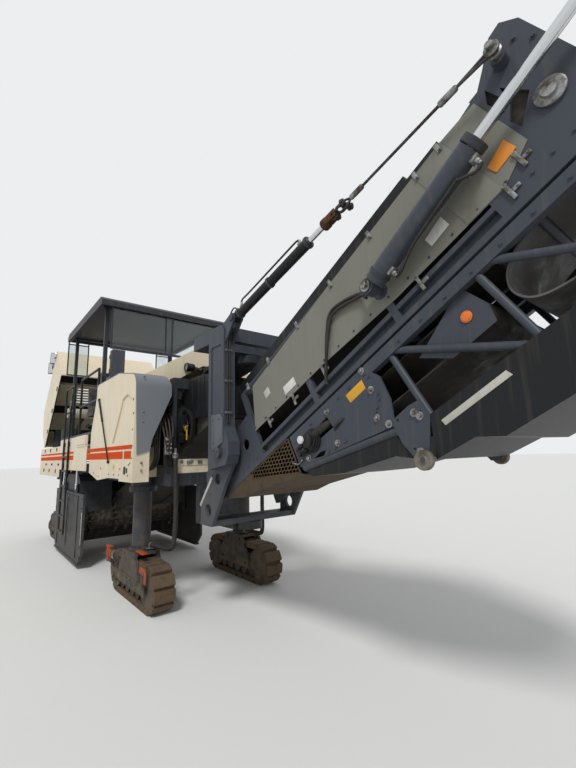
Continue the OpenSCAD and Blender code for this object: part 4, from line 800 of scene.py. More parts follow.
class PLANER_OT_belts(bpy.types.Operator):
    """The folded section's belt with its slack loop, and the idlers under the channels"""
    bl_idname = "planer.belts"
    bl_label = "Slack belt and idlers"

    def execute(self, context):
        def round_end(s, h, r, first, last, steps=9):
            turns = [math.radians(first + (last - first) * i / steps) for i in range(steps + 1)]
            return [(s + r * math.cos(turn), h + r * math.sin(turn)) for turn in turns]

        def idler(made, s, h, reach, r, taper):
            """Two rollers on one axle across the belt, each from 6 mm to its reach from the middle."""
            wide = reach - 6
            for y0 in (-reach, 6):
                lathe(made, on_belt(s, h, y0), Y, [(0, 14), (0, r - taper), (8, r), (wide - 8, r),
                                                   (wide, r - taper), (wide, 14)])
            barrel(made, on_belt(s, h, -440), on_belt(s, h, 440), 14)

        outer_idlers = (1500, 2202, 2640)
        run = bmesh.new()
        path = round_end(1054, BELT_AXLE_H, 118, 90, 270) + [(1500, -694), (2200, -694)]
        path += round_end(2700, BELT_AXLE_H, 118, -90, 90) + [(2200, -458), (1500, -458), (1054, -458)]
        strip(run, path, -400, 400, 12)
        piece = settle(run, "head_belt", "outer_conveyor", "belt_rubber")
        # The slack loop's pale grey is painted sheen on the belt's black rubber
        slack = bmesh.new()
        loop = [(4070, -560), (4040, -640), (3960, -700), (3800, -752), (3500, -796), (3280, -806),
                (3143, -790), (3035, -752), (2975, -690), (2955, -612), (2985, -525), (3060, -455),
                (3163, -408), (3360, -372), (3600, -362), (3800, -380), (3960, -430), (4040, -490),
                (4070, -560)]
        strip(slack, loop, -400, 400, 12)
        settle(slack, "slack_belt", "outer_conveyor", "slack_rubber_painted_sheen")
        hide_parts("outer_belt")
        drums = bmesh.new()
        for s, r in ((1054, 111), (3940, 104), (2700, 90)):
            lathe(drums, on_belt(s, BELT_AXLE_H, -420), Y, [(0, 0), (0, r - 6), (10, r), (830, r),
                                                            (840, r - 6), (840, 0)], 36)
            reach = 425 if s == 2700 else 470
            barrel(drums, on_belt(s, BELT_AXLE_H, -reach), on_belt(s, BELT_AXLE_H, reach), 30)
        settle(drums, "belt_drums", "outer_conveyor", "grey_steel")
        idlers = bmesh.new()
        for s in outer_idlers:
            idler(idlers, s, -402, 418, 44, 12)
        settle(idlers, "outer_idlers", "outer_conveyor", "grey_steel")
        hangers = bmesh.new()
        for side, _ in SIDES:
            for s in outer_idlers:
                slab(hangers, on_belt(s, -384, side * 434), (70, 10, 80), BELT_AXES, 3)
                for ds in (-22, 22):
                    bolt(hangers, on_belt(s + ds, -420, side * 439), Y * side, 16)
        settle(hangers, "idler_hangers", "outer_conveyor", "blue_grey_steel")
        rolls = bmesh.new()
        for s in (-200, 500, 1200, 1900, 2600, 3300):
            idler(rolls, s, -214, 396, 46, 10)
        settle(rolls, "inner_idlers", "inner_conveyor", "grey_steel")
        return {"FINISHED"}


class PLANER_OT_foot_guard(bpy.types.Operator):
    """Expanded-metal guards at the conveyor's foot, with their frames"""
    bl_idname = "planer.foot_guard"
    bl_label = "Foot guards"

    def execute(self, context):
        sizes = context.scene.planer_guard
        foot, top, tip, slant = 150, 846, -688, -395
        outline = ((foot, -320.5), (top, -320.5), (top, tip), (foot, slant))
        grid, rims = bmesh.new(), bmesh.new()
        for side, _ in SIDES:
            faces = []
            pitch, rise = sizes.cell * 1.5, sizes.cell_height * math.sqrt(3)
            for column in range(int((top - foot) / pitch)):
                s = foot + pitch * (column + 0.7)
                bottom = slant - (s - foot) * (slant - tip) / (top - foot)
                for row in range(12):
                    h = -322 - rise * (row + 0.5 + (column % 2) / 2)
                    if h < bottom + rise * 0.35:
                        break
                    place = on_belt(s, h, side * 489)
                    turn = Matrix((ABOVE, ALONG, Y)).transposed().to_4x4()
                    shape = Matrix.Diagonal((sizes.cell_height / 1000, sizes.cell / 1000, 1, 1))
                    new = bmesh.ops.create_circle(grid, cap_ends=True, segments=6, radius=1,
                                                  matrix=Matrix.Translation(place) @ turn @ shape)
                    faces.append(next(iter(new["verts"][0].link_faces)))
            bmesh.ops.inset_individual(grid, faces=faces, thickness=sizes.strand / 1000,
                                       use_even_offset=True)
            bmesh.ops.delete(grid, geom=faces, context="FACES_ONLY")
            for (s0, h0), (s1, h1) in zip(outline, outline[1:] + outline[:1]):
                first, last = on_belt(s0, h0, side * 489), on_belt(s1, h1, side * 489)
                way = (last - first).normalized()
                inward = way.cross(Y).normalized()
                if inward.dot(on_belt(560, -440, side * 489) - first) < 0:
                    inward.negate()
                slab(rims, (first + last) / 2 + inward * 0.008, ((last - first).length * 1000, 8, 16),
                     (way, Y, inward), 1.5)
        bmesh.ops.remove_doubles(grid, verts=grid.verts, dist=0.0005)
        bmesh.ops.recalc_face_normals(grid, faces=grid.faces)
        bmesh.ops.solidify(grid, geom=list(grid.faces), thickness=0.004)
        piece = settle(grid, "foot_guard_mesh", "inner_conveyor", "mesh_steel")
        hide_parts("foot_mesh")
        settle(rims, "foot_guard_rims", "inner_conveyor", "mesh_steel")
        return {"FINISHED"}


class PLANER_OT_leg_fittings(bpy.types.Operator):
    """Ribbed hose guards of the front legs, roller caps, drive bolts and yoke bolts of the four tracks"""
    bl_idname = "planer.leg_fittings"
    bl_label = "Leg and track fittings"

    def execute(self, context):
        sizes = context.scene.planer_fittings
        for end, x0 in (("f", 0), ("r", -WHEELBASE)):
            for side, tag in SIDES:
                body = f"track_{end}{tag}"
                y = side * COLUMN_Y
                out = Y * side
                caps, bolts = bmesh.new(), bmesh.new()
                for i in range(-2, 3):
                    lathe(caps, at(x0 + i * 200, y + side * 135.2, AXLE_Z), out,
                          [(0, 0), (0, 34), (5, 38), (9, 38), (14, 26), (14, 0)], 20)
                for x in (-330, 330):
                    lathe(caps, at(x0 + x, y + side * 165.2, 265), out,
                          [(0, 0), (0, 40), (6, 44), (12, 44), (20, 20), (20, 0)], 24)
                settle(caps, f"roller_caps_{end}{tag}", body, "dusty_steel")
                for turn in evenly(8, math.pi / 8):
                    bolt(bolts, at(x0 - 600 + 92 * math.cos(turn), y + side * 164.2,
                                   AXLE_Z + 92 * math.sin(turn)), out, 22)
                    bolt(bolts, at(x0 + 190 * math.cos(turn), y + 112 * math.sin(turn), 640.4), Z, 26)
                for x in (-560, -420, -140, 0, 140, 420, 560):
                    bolt(bolts, at(x0 + x, y + side * 176.2, 310), out, sizes.screw)
                settle(bolts, f"track_bolts_{end}{tag}", body, "dusty_steel")
                ringed = bmesh.new()
                for turn in evenly(12):
                    bolt(ringed, at(x0 + 134 * math.cos(turn), y + 134 * math.sin(turn), 675.5), Z, 20)
                lathe(ringed, at(x0, y, 690.6), Z, [(0, 120.6), (0, 127), (5, 127), (7, 125), (7, 120.6)],
                      40)
                settle(ringed, f"leg_ring_{end}{tag}", f"leg_{end}{tag}", "dusty_steel")
                if end == "f":
                    way = [(778, 680, 1850), (778, 672, 1640), (780, 664, 1400), (780, 660, 1160),
                           (774, 664, 960), (768, 668, 840), (744, 673, 756), (692, 681, 726),
                           (600, 692, 716), (470, 706, 712), (330, 722, 710), (216, 744, 708)]
                    hoses(f"leg_hose_guard_{tag}", f"leg_f{tag}", "hose",
                          [[at(a, side * b, c) for a, b, c in way]], 62, 14)
                    fitting = bmesh.new()
                    lathe(fitting, at(778, side * 680, 1835), Z, [(0, 26), (0, 36), (8, 40), (44, 40),
                                                                  (52, 34), (70, 30), (70, 0)], 20)
                    slab(fitting, at(158, side * 760, 668), (110, 90, 14), SQUARE, 3)
                    lathe(fitting, at(232, side * 741, 708), -X, [(0, 31.5), (0, 37), (6, 40), (34, 40),
                                                                  (40, 34), (44, 0)], 20)
                    for k in (-1, 1):
                        barrel(fitting, at(778 + k * 14, side * 680, 1905),
                               at(778 + k * 14, side * 680, 1960), 11, 2, 14)
                    settle(fitting, f"leg_hose_ends_{tag}", f"leg_f{tag}", "zinc")
        # Orange-red guards of the front right track, on an arm from its cover
        lugs, arms = bmesh.new(), bmesh.new()
        slab(lugs, at(-850, -1000, 480), (90, 22, 230), SQUARE, 10)
        slab(lugs, at(-800, -985, 585), (190, 60, 26), SQUARE, 8)
        slab(lugs, at(-760, -992, 500), (60, 20, 120), SQUARE, 8)
        slab(lugs, at(300, -905, 655), (250, 70, 26), SQUARE, 8)
        slab(lugs, at(600, -990, 500), (190, 22, 80), SQUARE, 10)
        slab(lugs, at(690, -990, 440), (50, 22, 150), SQUARE, 10)
        slab(arms, at(-740, -992, 400), (240, 22, 60), SQUARE, 5)
        slab(arms, at(-640, -992, 360), (60, 22, 140), SQUARE, 5)
        slab(arms, at(600, -992, 400), (60, 22, 190), SQUARE, 5)
        slab(arms, at(240, -960, 600), (60, 44, 70), SQUARE, 5)
        settle(arms, "guard_arms", "track_fr", "dusty_steel")
        settle(lugs, "track_lugs", "track_fr", "worn_orange")
        return {"FINISHED"}


class PLANER_OT_bay_fittings(bpy.types.Operator):
    """Valve blocks, hoses and the blower's bolts in the front bay"""
    bl_idname = "planer.bay_fittings"
    bl_label = "Front bay fittings"

    def execute(self, context):
        sizes = context.scene.planer_fittings
        brackets, valves, brass = bmesh.new(), bmesh.new(), bmesh.new()
        for side, tag in SIDES:
            slab(brackets, at(706.5, side * 745, 1935), (12, 130, 400), SQUARE, 3)
            slab(valves, at(735, side * 765, 1990), (44, 90, 220), SQUARE, 4)
            for z in (1905, 1960, 2015, 2070):
                for dy in (-22, 22):
                    lathe(valves, at(757, side * (765 + dy), z), X,
                          [(0, 0), (0, 17), (10, 17), (12, 12), (34, 12), (36, 8), (36, 0)], 12)
            slab(brackets, at(380, side * 880, 2540), (370, 16, 60), SQUARE, 3)
            slab(valves, at(560, side * 880, 2540), (70, 120, 110), SQUARE, 5)
            for dz in (-30, 30):
                for dy in (-35, 0, 35):
                    lathe(valves, at(595, side * (880 + dy), 2540 + dz), X,
                          [(0, 0), (0, 15), (12, 15), (14, 11), (40, 11), (40, 0)], 12)
            routes = []
            for k in range(4):
                routes.append([at(785 - k * 3, side * (745 + k * 13), 2070 - k * 50),
                               at(800 - k * 20, side * (730 + k * 25), 2150 - k * 20),
                               at(700 - k * 30, side * (700 + k * 45), 2320 + k * 20),
                               at(560 - k * 40, side * (700 + k * 50), 2420),
                               at(420 - k * 20, side * (720 + k * 60), 2300 - k * 60),
                               at(300, side * (740 + k * 55), 2100 - k * 70),
                               at(214, side * (750 + k * 55), 2000)])
            for k in range(3):
                routes.append([at(634, side * (845 + k * 35), 2510), at(690, side * (850 + k * 34), 2470),
                               at(680, side * (850 + k * 32), 2300), at(640, side * (840 + k * 30), 2050),
                               at(600, side * (830 + k * 28), 1850), at(480, side * (840 + k * 26), 1720),
                               at(214, side * (850 + k * 26), 1680)])
            hoses(f"bay_hoses_{tag}", "chassis", "hose", routes, sizes.hose)
            for y in (300, 460):
                slab(valves, at(708, side * y, 1780), (16, 60, 44), SQUARE, 4)
            for y in (420, 560):
                bolt(valves, at(FRAME_SIDE, side * y, 1790), X, 26)
        # Fan wheel beside the black hood: a rim on spokes, its gold bracket and its black intake
        lathe(brackets, at(FAN_X, -481, FAN_Z), -Y, [(0, 0), (0, 252), (10, 258), (52, 258), (58, 250),
                                                     (58, 216), (20, 206), (20, 0)], 48)
        for turn in evenly(6, 0.3):
            arm = Vector((math.cos(turn), 0, math.sin(turn)))
            slab(brackets, at(FAN_X, -524, FAN_Z) + arm * 0.13, (190, 20, 22), (arm, Y, Y.cross(arm)), 4)
        ring(brackets, at(FAN_X, -535, FAN_Z), Y, 130, 7, steps=40, sides=8)
        lathe(brackets, at(FAN_X, -501, FAN_Z), -Y, [(0, 0), (0, 64), (30, 58), (44, 40), (60, 34),
                                                     (60, 0)], 24)
        lathe(brackets, at(560, -800, 2590), X, [(0, 0), (0, 78), (20, 96), (150, 96), (156, 90), (156, 70),
                                                 (60, 62), (60, 0)], 28)
        slab(brass, at(812, -547, 2160), (26, 12, 190), SQUARE, 4)
        slab(brass, at(790, -547, 2220), (70, 12, 60), SQUARE, 4)
        slab(valves, at(640, -548, 2262), (60, 22, 44), SQUARE, 5)
        settle(brackets, "bay_brackets", "chassis", "black_paint")
        settle(valves, "bay_valves", "chassis", "zinc")
        settle(brass, "bay_bracket_gold", "chassis", "yellow_plate")
        fan = bmesh.new()
        for turn in evenly(16):
            bolt(fan, at(BLOWER_X + 412 * math.cos(turn), -620.2, BLOWER_Z + 412 * math.sin(turn)), -Y, 16)
        lathe(fan, at(BLOWER_X, -600.2, BLOWER_Z), -Y, [(0, 0), (0, 70), (8, 74), (20, 74), (26, 60),
                                                        (26, 30), (40, 26), (40, 0)])
        ring(fan, at(BLOWER_X, -618, BLOWER_Z), Y, 396, 7, steps=60, sides=8)
        settle(fan, "blower_bolts", "chassis", "grey_steel")
        # Ribs of the black hood over the feed conveyor, and the portal's hoses
        hood = bmesh.new()
        for x in (800, 920, 1040, 1160):
            slab(hood, at(x, 0, 2893), (16, 940, 8), SQUARE, 2)
            for side, _ in SIDES:
                slab(hood, at(x, side * 482.5, 2700), (16, 6, 330), SQUARE, 2)
        for side, _ in SIDES:
            for x in (340, 460, 580, 700, 860, 980, 1100, 1220, 1340):
                bolt(hood, at(x, side * 480.2, 2390), Y * side, sizes.screw)
        settle(hood, "feed_hood_ribs", "chassis", "black_paint")
        links = []
        for k in range(4):
            links.append([at(700, -230 - k * 26, 2880), at(760, -232 - k * 26, 2950),
                          at(860, -232 - k * 26, 2990), at(980, -230 - k * 26, 3015),
                          at(1090, -222 - k * 22, 3030), at(1160 + k * 30, -196, 3035)])
        hoses("portal_hoses", "chassis", "hose", links, sizes.hose)
        return {"FINISHED"}


class PLANER_OT_gantry_fittings(bpy.types.Operator):
    """Plates, screws, hoses and pins on the gantry's columns and arms"""
    bl_idname = "planer.gantry_fittings"
    bl_label = "Gantry fittings"

    def execute(self, context):
        sizes = context.scene.planer_fittings
        metal, pins, pale = bmesh.new(), bmesh.new(), bmesh.new()
        for side, tag in SIDES:
            out = Y * side
            cover = ((1790, 2290), (1980, 2290), (2030, 2230), (2030, 1990), (1850, 1900), (1790, 1960))
            plate(metal, [at(x, side * FRAME_SIDE, z) for x, z in cover], out * 0.014, 2)
            for x, z in ((1830, 2240), (1960, 2240), (1990, 2020), (1830, 1990)):
                bolt(metal, at(x, side * 714.5, z), out, sizes.screw)
            for z in (2300, 2700, 3040):
                for x in (1728, 2010):
                    bolt(metal, at(x, side * FRAME_SIDE, z), out, sizes.screw * 0.8)
            lathe(pins, at(LUFF_X, side * 720.3, LUFF_Z), out,
                  [(0, 0), (0, 58), (8, 62), (22, 62), (28, 50), (28, 18), (36, 16), (36, 0)])
            for turn in evenly(3, 0.5):
                bolt(pins, at(LUFF_X + 40 * math.cos(turn), side * 748.3, LUFF_Z + 40 * math.sin(turn)),
                     out, 14)
            for y, away in ((685.3, out), (574.7, -out)):
                lathe(pins, at(STAY_FOOT[0], side * y, STAY_FOOT[1]), away,
                      [(0, 0), (0, 34), (5, 38), (14, 38), (18, 30), (18, 0)], 20)
            riser = ((2052, 660, 26, 2190), (2056, 660, 26, 2500), (2056, 662, 26, 2900),
                     (2062, 664, 28, 3150), (2090, 668, 34, 3270), (2124, 664, 34, 3360))
            routes = [[at(x, side * (y - k * apart), z) for x, y, apart, z in riser] for k in range(2)]
            hoses(f"gantry_hoses_{tag}", "gantry", "hose", routes, sizes.hose * 0.8)
            hoops = [[at(2080, side * y, 3282), at(2110, side * y, 3380), at(2190, side * (y + 4), 3420),
                      at(2250, side * (y + 2), 3380), at(2256, side * y, 3330)] for y in (608, 652)]
            hoses(f"stay_guard_{tag}", "gantry", "blue_grey_steel", hoops, 16)
            for z in (2300, 2640, 2980):
                slab(metal, at(2052, side * 648, z), (24, 86, 26), SQUARE, 5)
            for x, z in ((1440, 1455), (1560, 1590), (1650, 1700)):
                bolt(metal, at(x, side * 600.2, z), out, sizes.screw)
            way = Vector((360, 0, 420)).normalized()
            slab(pale, at(1475, side * 603, 1452), (430, 5, 36), (way, Y, way.cross(Y)), 1.5)
        for y in range(-540, 541, 180):
            bolt(metal, at(1640, y, 3280.3), Z, sizes.screw)
        settle(metal, "gantry_plates", "gantry", "gantry_plate")
        settle(pins, "gantry_pins", "gantry", "blue_grey_steel")
        settle(pale, "gantry_strips", "gantry", "pale_strip")
        return {"FINISHED"}


class PLANER_OT_body_fittings(bpy.types.Operator):
    """Struts, catches, reflectors and blank plates on the body panels, and the lamps' lenses"""
    bl_idname = "planer.body_fittings"
    bl_label = "Body fittings"

    def execute(self, context):
        sizes = context.scene.planer_fittings
        dark, bright, reflectors, ovals, glass = (bmesh.new() for _ in range(5))
        for side, _ in SIDES:
            out = Y * side
            y = side * BODY_SIDE
            barrel(dark, at(-954, side * 1213, 2765), at(-290, side * 1213, 1815), 10, 2, 16)
            barrel(dark, at(-954, side * 1213, 2765), at(-700, side * 1213, 2402), 15, 3, 16)
            for x, z in ((-954, 2765), (-285, 1808)):
                lathe(dark, at(x, y, z), out, [(0, 0), (0, 20), (4, 22), (24, 22), (28, 16), (28, 0)], 16)
            lathe(ovals, at(-49, y, 1742), out, [(0, 0), (0, 30), (2, 31), (3, 29), (3, 0)], 32)
            slab(dark, at(430, side * 1204, 1700), (70, 8, 92), SQUARE, 3)
            slab(dark, at(520, side * 1203, 1700), (44, 6, 60), SQUARE, 3)
            for x in (-692, 233, -2760, -5900):
                slab(reflectors, at(x, side * 1202.5, 1716 if x > -2000 else 1640), (64, 5, 30), SQUARE, 2)
            lathe(dark, at(672, y, 2578), out, [(0, 0), (0, 15), (2, 16), (3, 12), (1, 8), (1, 0)], 16)
            for x, z in ((590, 1770), (640, 1790), (690, 1850), (690, 2000), (690, 2200), (700, 2400),
                         (560, 1640), (-260, 1640), (-20, 1640), (200, 1640), (-800, 1600), (-1100, 1640)):
                bolt(bright, at(x, y, z), out, sizes.screw * 0.8)
            for z in (1700, 1790, 2300, 2420, 2860):
                bolt(bright, at(750.8, side * 1100, z), X, sizes.screw)
            # Door handles and hinges of the rear panels
            for x in (-6000, -5200, -4400):
                slab(dark, at(x + 300, side * 1205, 1760), (130, 10, 44), SQUARE, 4)
                slab(dark, at(x + 300, side * 1211, 1760), (90, 8, 22), SQUARE, 4)
                for z in (1620, 2080):
                    barrel(dark, at(x + 20, side * 1207, z - 40), at(x + 20, side * 1207, z + 40), 9, 2, 14)
            lathe(glass, at(465, side * 402.4, 3120), out, [(0, 0), (0, 56), (4, 55), (9, 44), (12, 22),
                                                            (13, 0)], 32)
            lathe(dark, at(465, side * 402.3, 3120), out, [(0, 56.5), (0, 61.5), (14, 62), (18, 60),
                                                           (18, 57), (2, 56.5)], 32)
            for i in range(4):
                ring(dark, at(465, side * (318 + i * 18), 3120), Y, 55, 3, steps=32, sides=8)
        # The upright box's door and its hinges
        slab(dark, at(-824, -1101.5, 3325), (118, 4, 420), SQUARE, 3)
        for z in (3180, 3460):
            barrel(dark, at(-892, -1104, z - 30), at(-892, -1104, z + 30), 8, 2, 14)
        settle(dark, "body_catches", "chassis", "black_paint")
        settle(bright, "body_screws", "chassis", "zinc")
        settle(reflectors, "side_reflectors", "chassis", "reflector")
        settle(ovals, "body_ovals", "chassis", "yellow_plate")
        settle(glass, "lamp_lenses", "chassis", "lamp_glass")
        return {"FINISHED"}


class PLANER_OT_platform_fittings(bpy.types.Operator):
    """Cushions, control panels and levers of the operators' stands"""
    bl_idname = "planer.platform_fittings"
    bl_label = "Platform fittings"

    def execute(self, context):
        for side, tag in SIDES:
            x, y = -2375, side * 800
            for name, centre, size, axes in (("seat", at(x + 20, y, 2768), (420, 420, 90), SQUARE),
                                             ("back", at(x - 178, y, 2975), (430, 400, 80),
                                              (Vector((-0.15, 0, 0.99)).normalized(), Y,
                                               Vector((0.99, 0, 0.15)).normalized()))):
                pad = bmesh.new()
                slab(pad, centre, size, axes, 26, 3)
                for corner in pad.verts:
                    away = corner.co - centre
                    reach = max(abs(away.dot(axes[0])) / size[0], abs(away.dot(axes[1])) / size[1]) * 2000
                    if away.dot(axes[2]) > 0:
                        corner.co += axes[2] * (0.016 * max(0.0, 1 - reach))
                bmesh.ops.subdivide_edges(pad, edges=pad.edges, cuts=1, use_grid_fill=True, smooth=0.6)
                piece = settle(pad, f"{name}_cushion_{tag}", "chassis", "seat_cover", 60)
            panel, levers = bmesh.new(), bmesh.new()
            tilt = (Vector((0.98, 0, 0.2)).normalized(), Y, Vector((-0.2, 0, 0.98)).normalized())
            for row in range(3):
                for column in range(6):
                    lathe(panel, at(-1810 + row * 55, y - 150 + column * 60, 3222 + row * 12), tilt[2],
                          [(0, 0), (0, 14), (3, 15), (9, 13), (12, 6), (12, 0)], 14)
            slab(panel, at(-1640, y, 3345), (24, 240, 160), SQUARE, 10)
            slab(panel, at(-1640, y, 3285), (20, 60, 60), SQUARE, 4)
            for dy in (-190, 190):
                lathe(levers, at(-1790, y + dy, 3222), tilt[2],
                      [(0, 0), (0, 24), (10, 20), (16, 8), (70, 7), (78, 16), (110, 19), (122, 12),
                       (124, 0)], 18)
            settle(panel, f"control_panel_{tag}", "chassis", "black_paint")
            settle(levers, f"control_levers_{tag}", "chassis", "black_paint")
        return {"FINISHED"}


class PLANER_OT_hood_fittings(bpy.types.Operator):
    """Dark liner, seal, handles, mirrors and louvres of the raised engine hood"""
    bl_idname = "planer.hood_fittings"
    bl_label = "Hood fittings"

    def execute(self, context):
        pivot = at(HOOD_X, 0, HOOD_Z)
        turn = math.radians(45)
        run, rise = Vector((math.cos(turn), 0, math.sin(turn))), Vector((-math.sin(turn), 0,
                math.cos(turn)))

        def inside(u, w, y):
            return placed((run, rise, Y), pivot, u, w, y)

        liner = bmesh.new()
        outline = ((60, 60), (2315, 60), (2315, 940), (2270, 1045), (320, 1045), (5, 590))
        for side, _ in SIDES:
            plate(liner, [inside(u, w, side * 1151) for u, w in outline], Y * (side * 0.003))
        for (u0, w0), (u1, w1) in (((2315, 60), (2315, 940)), ((2270, 1048), (1960, 1048)),
                                   ((1880, 1048), (1360, 1048)), ((600, 1048), (320, 1048)),
                                   ((300, 1045), (5, 620))):
            away = Y.cross(inside(u1, w1, 0) - inside(u0, w0, 0)).normalized() * 0.003
            plate(liner, [inside(u0, w0, -1140), inside(u1, w1, -1140), inside(u1, w1, 1140),
                          inside(u0, w0, 1140)], away)
        for u in range(160, 2300, 130):
            for side, _ in SIDES:
                slab(liner, inside(u, 560, side * 1146), (14, 6, 860), (run, Y, rise), 2)
        settle(liner, "hood_liner", "hood", "foam")
        trim = bmesh.new()
        for side, _ in SIDES:
            slab(trim, inside(1185, -34, side * 1167), (2260, 26, 10), (run, Y, rise), 3)
            for u in (500, 1180, 1860):
                slab(trim, inside(u, 60, side * 1183), (130, 8, 40), (run, Y, rise), 3)
                slab(trim, inside(u, 60, side * 1190), (96, 10, 20), (run, Y, rise), 4)
        settle(trim, "hood_trim", "hood", "black_paint")
        marks, glass, arm = bmesh.new(), bmesh.new(), bmesh.new()
        for side, _ in SIDES:
            slab(marks, inside(2150, 1000, side * 1182), (260, 4, 60), (run, Y, rise), 1.5)
        facing = Vector((0.88, -0.47, 0.05)).normalized()
        wide = Z.cross(facing).normalized()
        for u, w in ((1987, 1215), (1668, 1222)):
            centre = inside(u, w, -1196)
            slab(arm, centre - facing * 0.02, (180, 300, 36), (wide, facing.cross(wide), facing), 16)
            slab(glass, centre, (150, 268, 6), (wide, facing.cross(wide), facing), 2.5)
        hoses("mirror_arm", "hood", "black_paint",
              [[inside(2080, 1070, -1130), inside(2080, 1150, -1150), inside(1987, 1200, -1180),
                inside(1830, 1222, -1184), inside(1668, 1210, -1180), inside(1560, 1150, -1150),
                inside(1560, 1070, -1130)]], 24)
        settle(marks, "hood_marks", "hood", "orange_paint")
        settle(glass, "mirror_glass", "hood", "mirror")
        settle(arm, "mirror_backs", "hood", "black_paint")
        lips = bmesh.new()
        for i in range(7):
            slab(lips, inside(675 + i * 90, 1082, 0), (16, 1040, 8), (run, Y, rise), 2)
        settle(lips, "hood_louvres", "hood", "cream_paint")
        return {"FINISHED"}


class PLANER_OT_engine_fittings(bpy.types.Operator):
    """Fan, pulleys, pipes and clamps of the engine and its muffler"""
    bl_idname = "planer.engine_fittings"
    bl_label = "Engine fittings"

    def execute(self, context):
        base = ENGINE_FLOOR
        cylinders = [-5858 + i * 235 for i in range(6)]
        fan = bmesh.new()
        for turn in evenly(8):
            arm = Vector((0, math.cos(turn), math.sin(turn)))
            pitch = (X + arm.cross(X) * 0.7).normalized()
            slab(fan, at(-5985, 0, base + 240) + arm * 0.13, (150, 60, 5), (arm, pitch, pitch.cross(arm)),
                 2)
        lathe(fan, at(-6004, 0, base + 240), X, [(0, 0), (0, 62), (30, 62), (36, 50), (36, 0)])
        settle(fan, "cooling_fan", "chassis", "black_paint")
        fins = bmesh.new()
        for i in range(38):
            slab(fins, at(-6252.5, 0, base + 20 + i * 12), (5, 1900, 4), SQUARE, 0)
        settle(fins, "radiator_fins", "chassis", "grey_steel")
        engine = bmesh.new()
        for side, _ in SIDES:
            for i in range(6):
                lathe(engine, at(cylinders[i], side * 210.3, base + 540), Y * side,
                      [(0, 0), (0, 46), (8, 50), (30, 50), (40, 34), (70, 30), (70, 0)], 20)
                bolt(engine, at(cylinders[i], side * 120, base + 680.3), Z, 22)
            for x in range(-5900, -4450, 145):
                bolt(engine, at(x, side * 330.3, base + 60), Y * side, 22)
                bolt(engine, at(x, side * 330.3, base + 380), Y * side, 22)
            lathe(engine, at(-5250, side * 520.3, base + 220), Y * side,
                  [(0, 0), (0, 120), (10, 128), (26, 128), (34, 96), (60, 80), (60, 52), (90, 50), (90, 0)])
        settle(engine, "engine_covers", "chassis", "grey_steel")
        pipes = [[at(cylinders[i], s * 275, base + 540), at(-5850 + i * 230, s * 330, base + 560),
                  at(-5700 + i * 190, s * 350, base + 590), at(-5400 + i * 110, s * 350, base + 600),
                  at(-5150, s * 352, base + 560 - i * 4)] for i in range(6) for s in (-1, 1)]
        hoses("engine_pipes", "chassis", "zinc", pipes, 22)
        thick = [[at(-5250, -610, base + 220), at(-5200, -680, base + 300), at(-5000, -700, base + 460),
                  at(-4780, -690, base + 600), at(-4700, -660, base + 668)],
                 [at(-5250, 610, base + 220), at(-5270, 630, base + 330), at(-5420, 590, base + 500),
                  at(-5750, 540, base + 560), at(-5960, 420, base + 400)]]
        hoses("charge_pipes", "chassis", "hose", thick, 84)
        bands = bmesh.new()
        for y in (-980, -880, -400, -300):
            lathe(bands, at(-4650, y, 2920), Y, [(0, 110.4), (0, 114), (3, 116), (22, 116), (25, 114),
                                                 (25, 110.4)], 40)
        lathe(bands, at(-4650, -905, 3070.3), Z, [(0, 42), (0, 52), (90, 46), (130, 60), (140, 62),
                                                  (140, 52)], 28)
        settle(bands, "muffler_bands", "chassis", "zinc")
        return {"FINISHED"}


class PLANER_OT_side_fittings(bpy.types.Operator):
    """Slide strips, screws and lifting rods of the side plates, and the drum's carbide tips"""
    bl_idname = "planer.side_fittings"
    bl_label = "Side plate and drum fittings"

    def execute(self, context):
        sizes = context.scene.planer_fittings
        for side, tag in SIDES:
            out = Y * side
            body = f"side_plate_{tag}"
            strips, screws, rods = bmesh.new(), bmesh.new(), bmesh.new()
            slab(strips, at(-2052, side * 1128, 690), (26, 6, 520), SQUARE, 2)
            settle(strips, f"slide_strip_{tag}", body, "pale_strip")
            for z in range(220, 1200, 160):
                for x in (-4440, -2110):
                    bolt(screws, at(x, side * SIDE_PLATE_FACE, z), out, sizes.screw)
            for x in range(-4100, -2300, 200):
                bolt(screws, at(x, side * SIDE_PLATE_FACE, 1200), out, sizes.screw)
            slab(screws, at(-3300, side * 1130, 700), (60, 10, 900), SQUARE, 3)
            settle(screws, f"side_screws_{tag}", body, "dark_steel")
            for x in (-3900, -2720):
                barrel(rods, at(x, side * 1105, 1330), at(x, side * 1105, 1740), 17, 2, 20)
                slab(rods, at(x, side * 1105, 1345), (64, 44, 74), SQUARE, 8)
                lathe(rods, at(x, side * 1105, 1384), Z, [(0, 17), (0, 27), (4, 30), (22, 30), (26, 27),
                                                          (26, 17)], 24)
            settle(rods, f"lift_rods_{tag}", body, "chrome_rod")
        tips = bmesh.new()
        picks = 96
        for i in range(picks):
            turned = i % 2 * 2 - 1
            share = (i // 2 + 0.5) / (picks // 2)
            angle = math.radians(share * 720 * turned + (0 if turned > 0 else 180))
            out = Vector((-math.sin(angle), 0, math.cos(angle)))
            y = -turned * share * 940
            lathe(tips, at(DRUM_X, y, DRUM_Z) + out * 0.500, out,
                  [(0, 26.4), (2, 26), (10, 12), (16, 5), (17, 0)], 10)
            lathe(tips, at(DRUM_X, y, DRUM_Z) + out * 0.446, out,
                  [(0, 26.3), (0, 32), (14, 34), (24, 27), (24, 26.3)], 12)
        settle(tips, "pick_tips", "drum", "worn_steel")
        return {"FINISHED"}


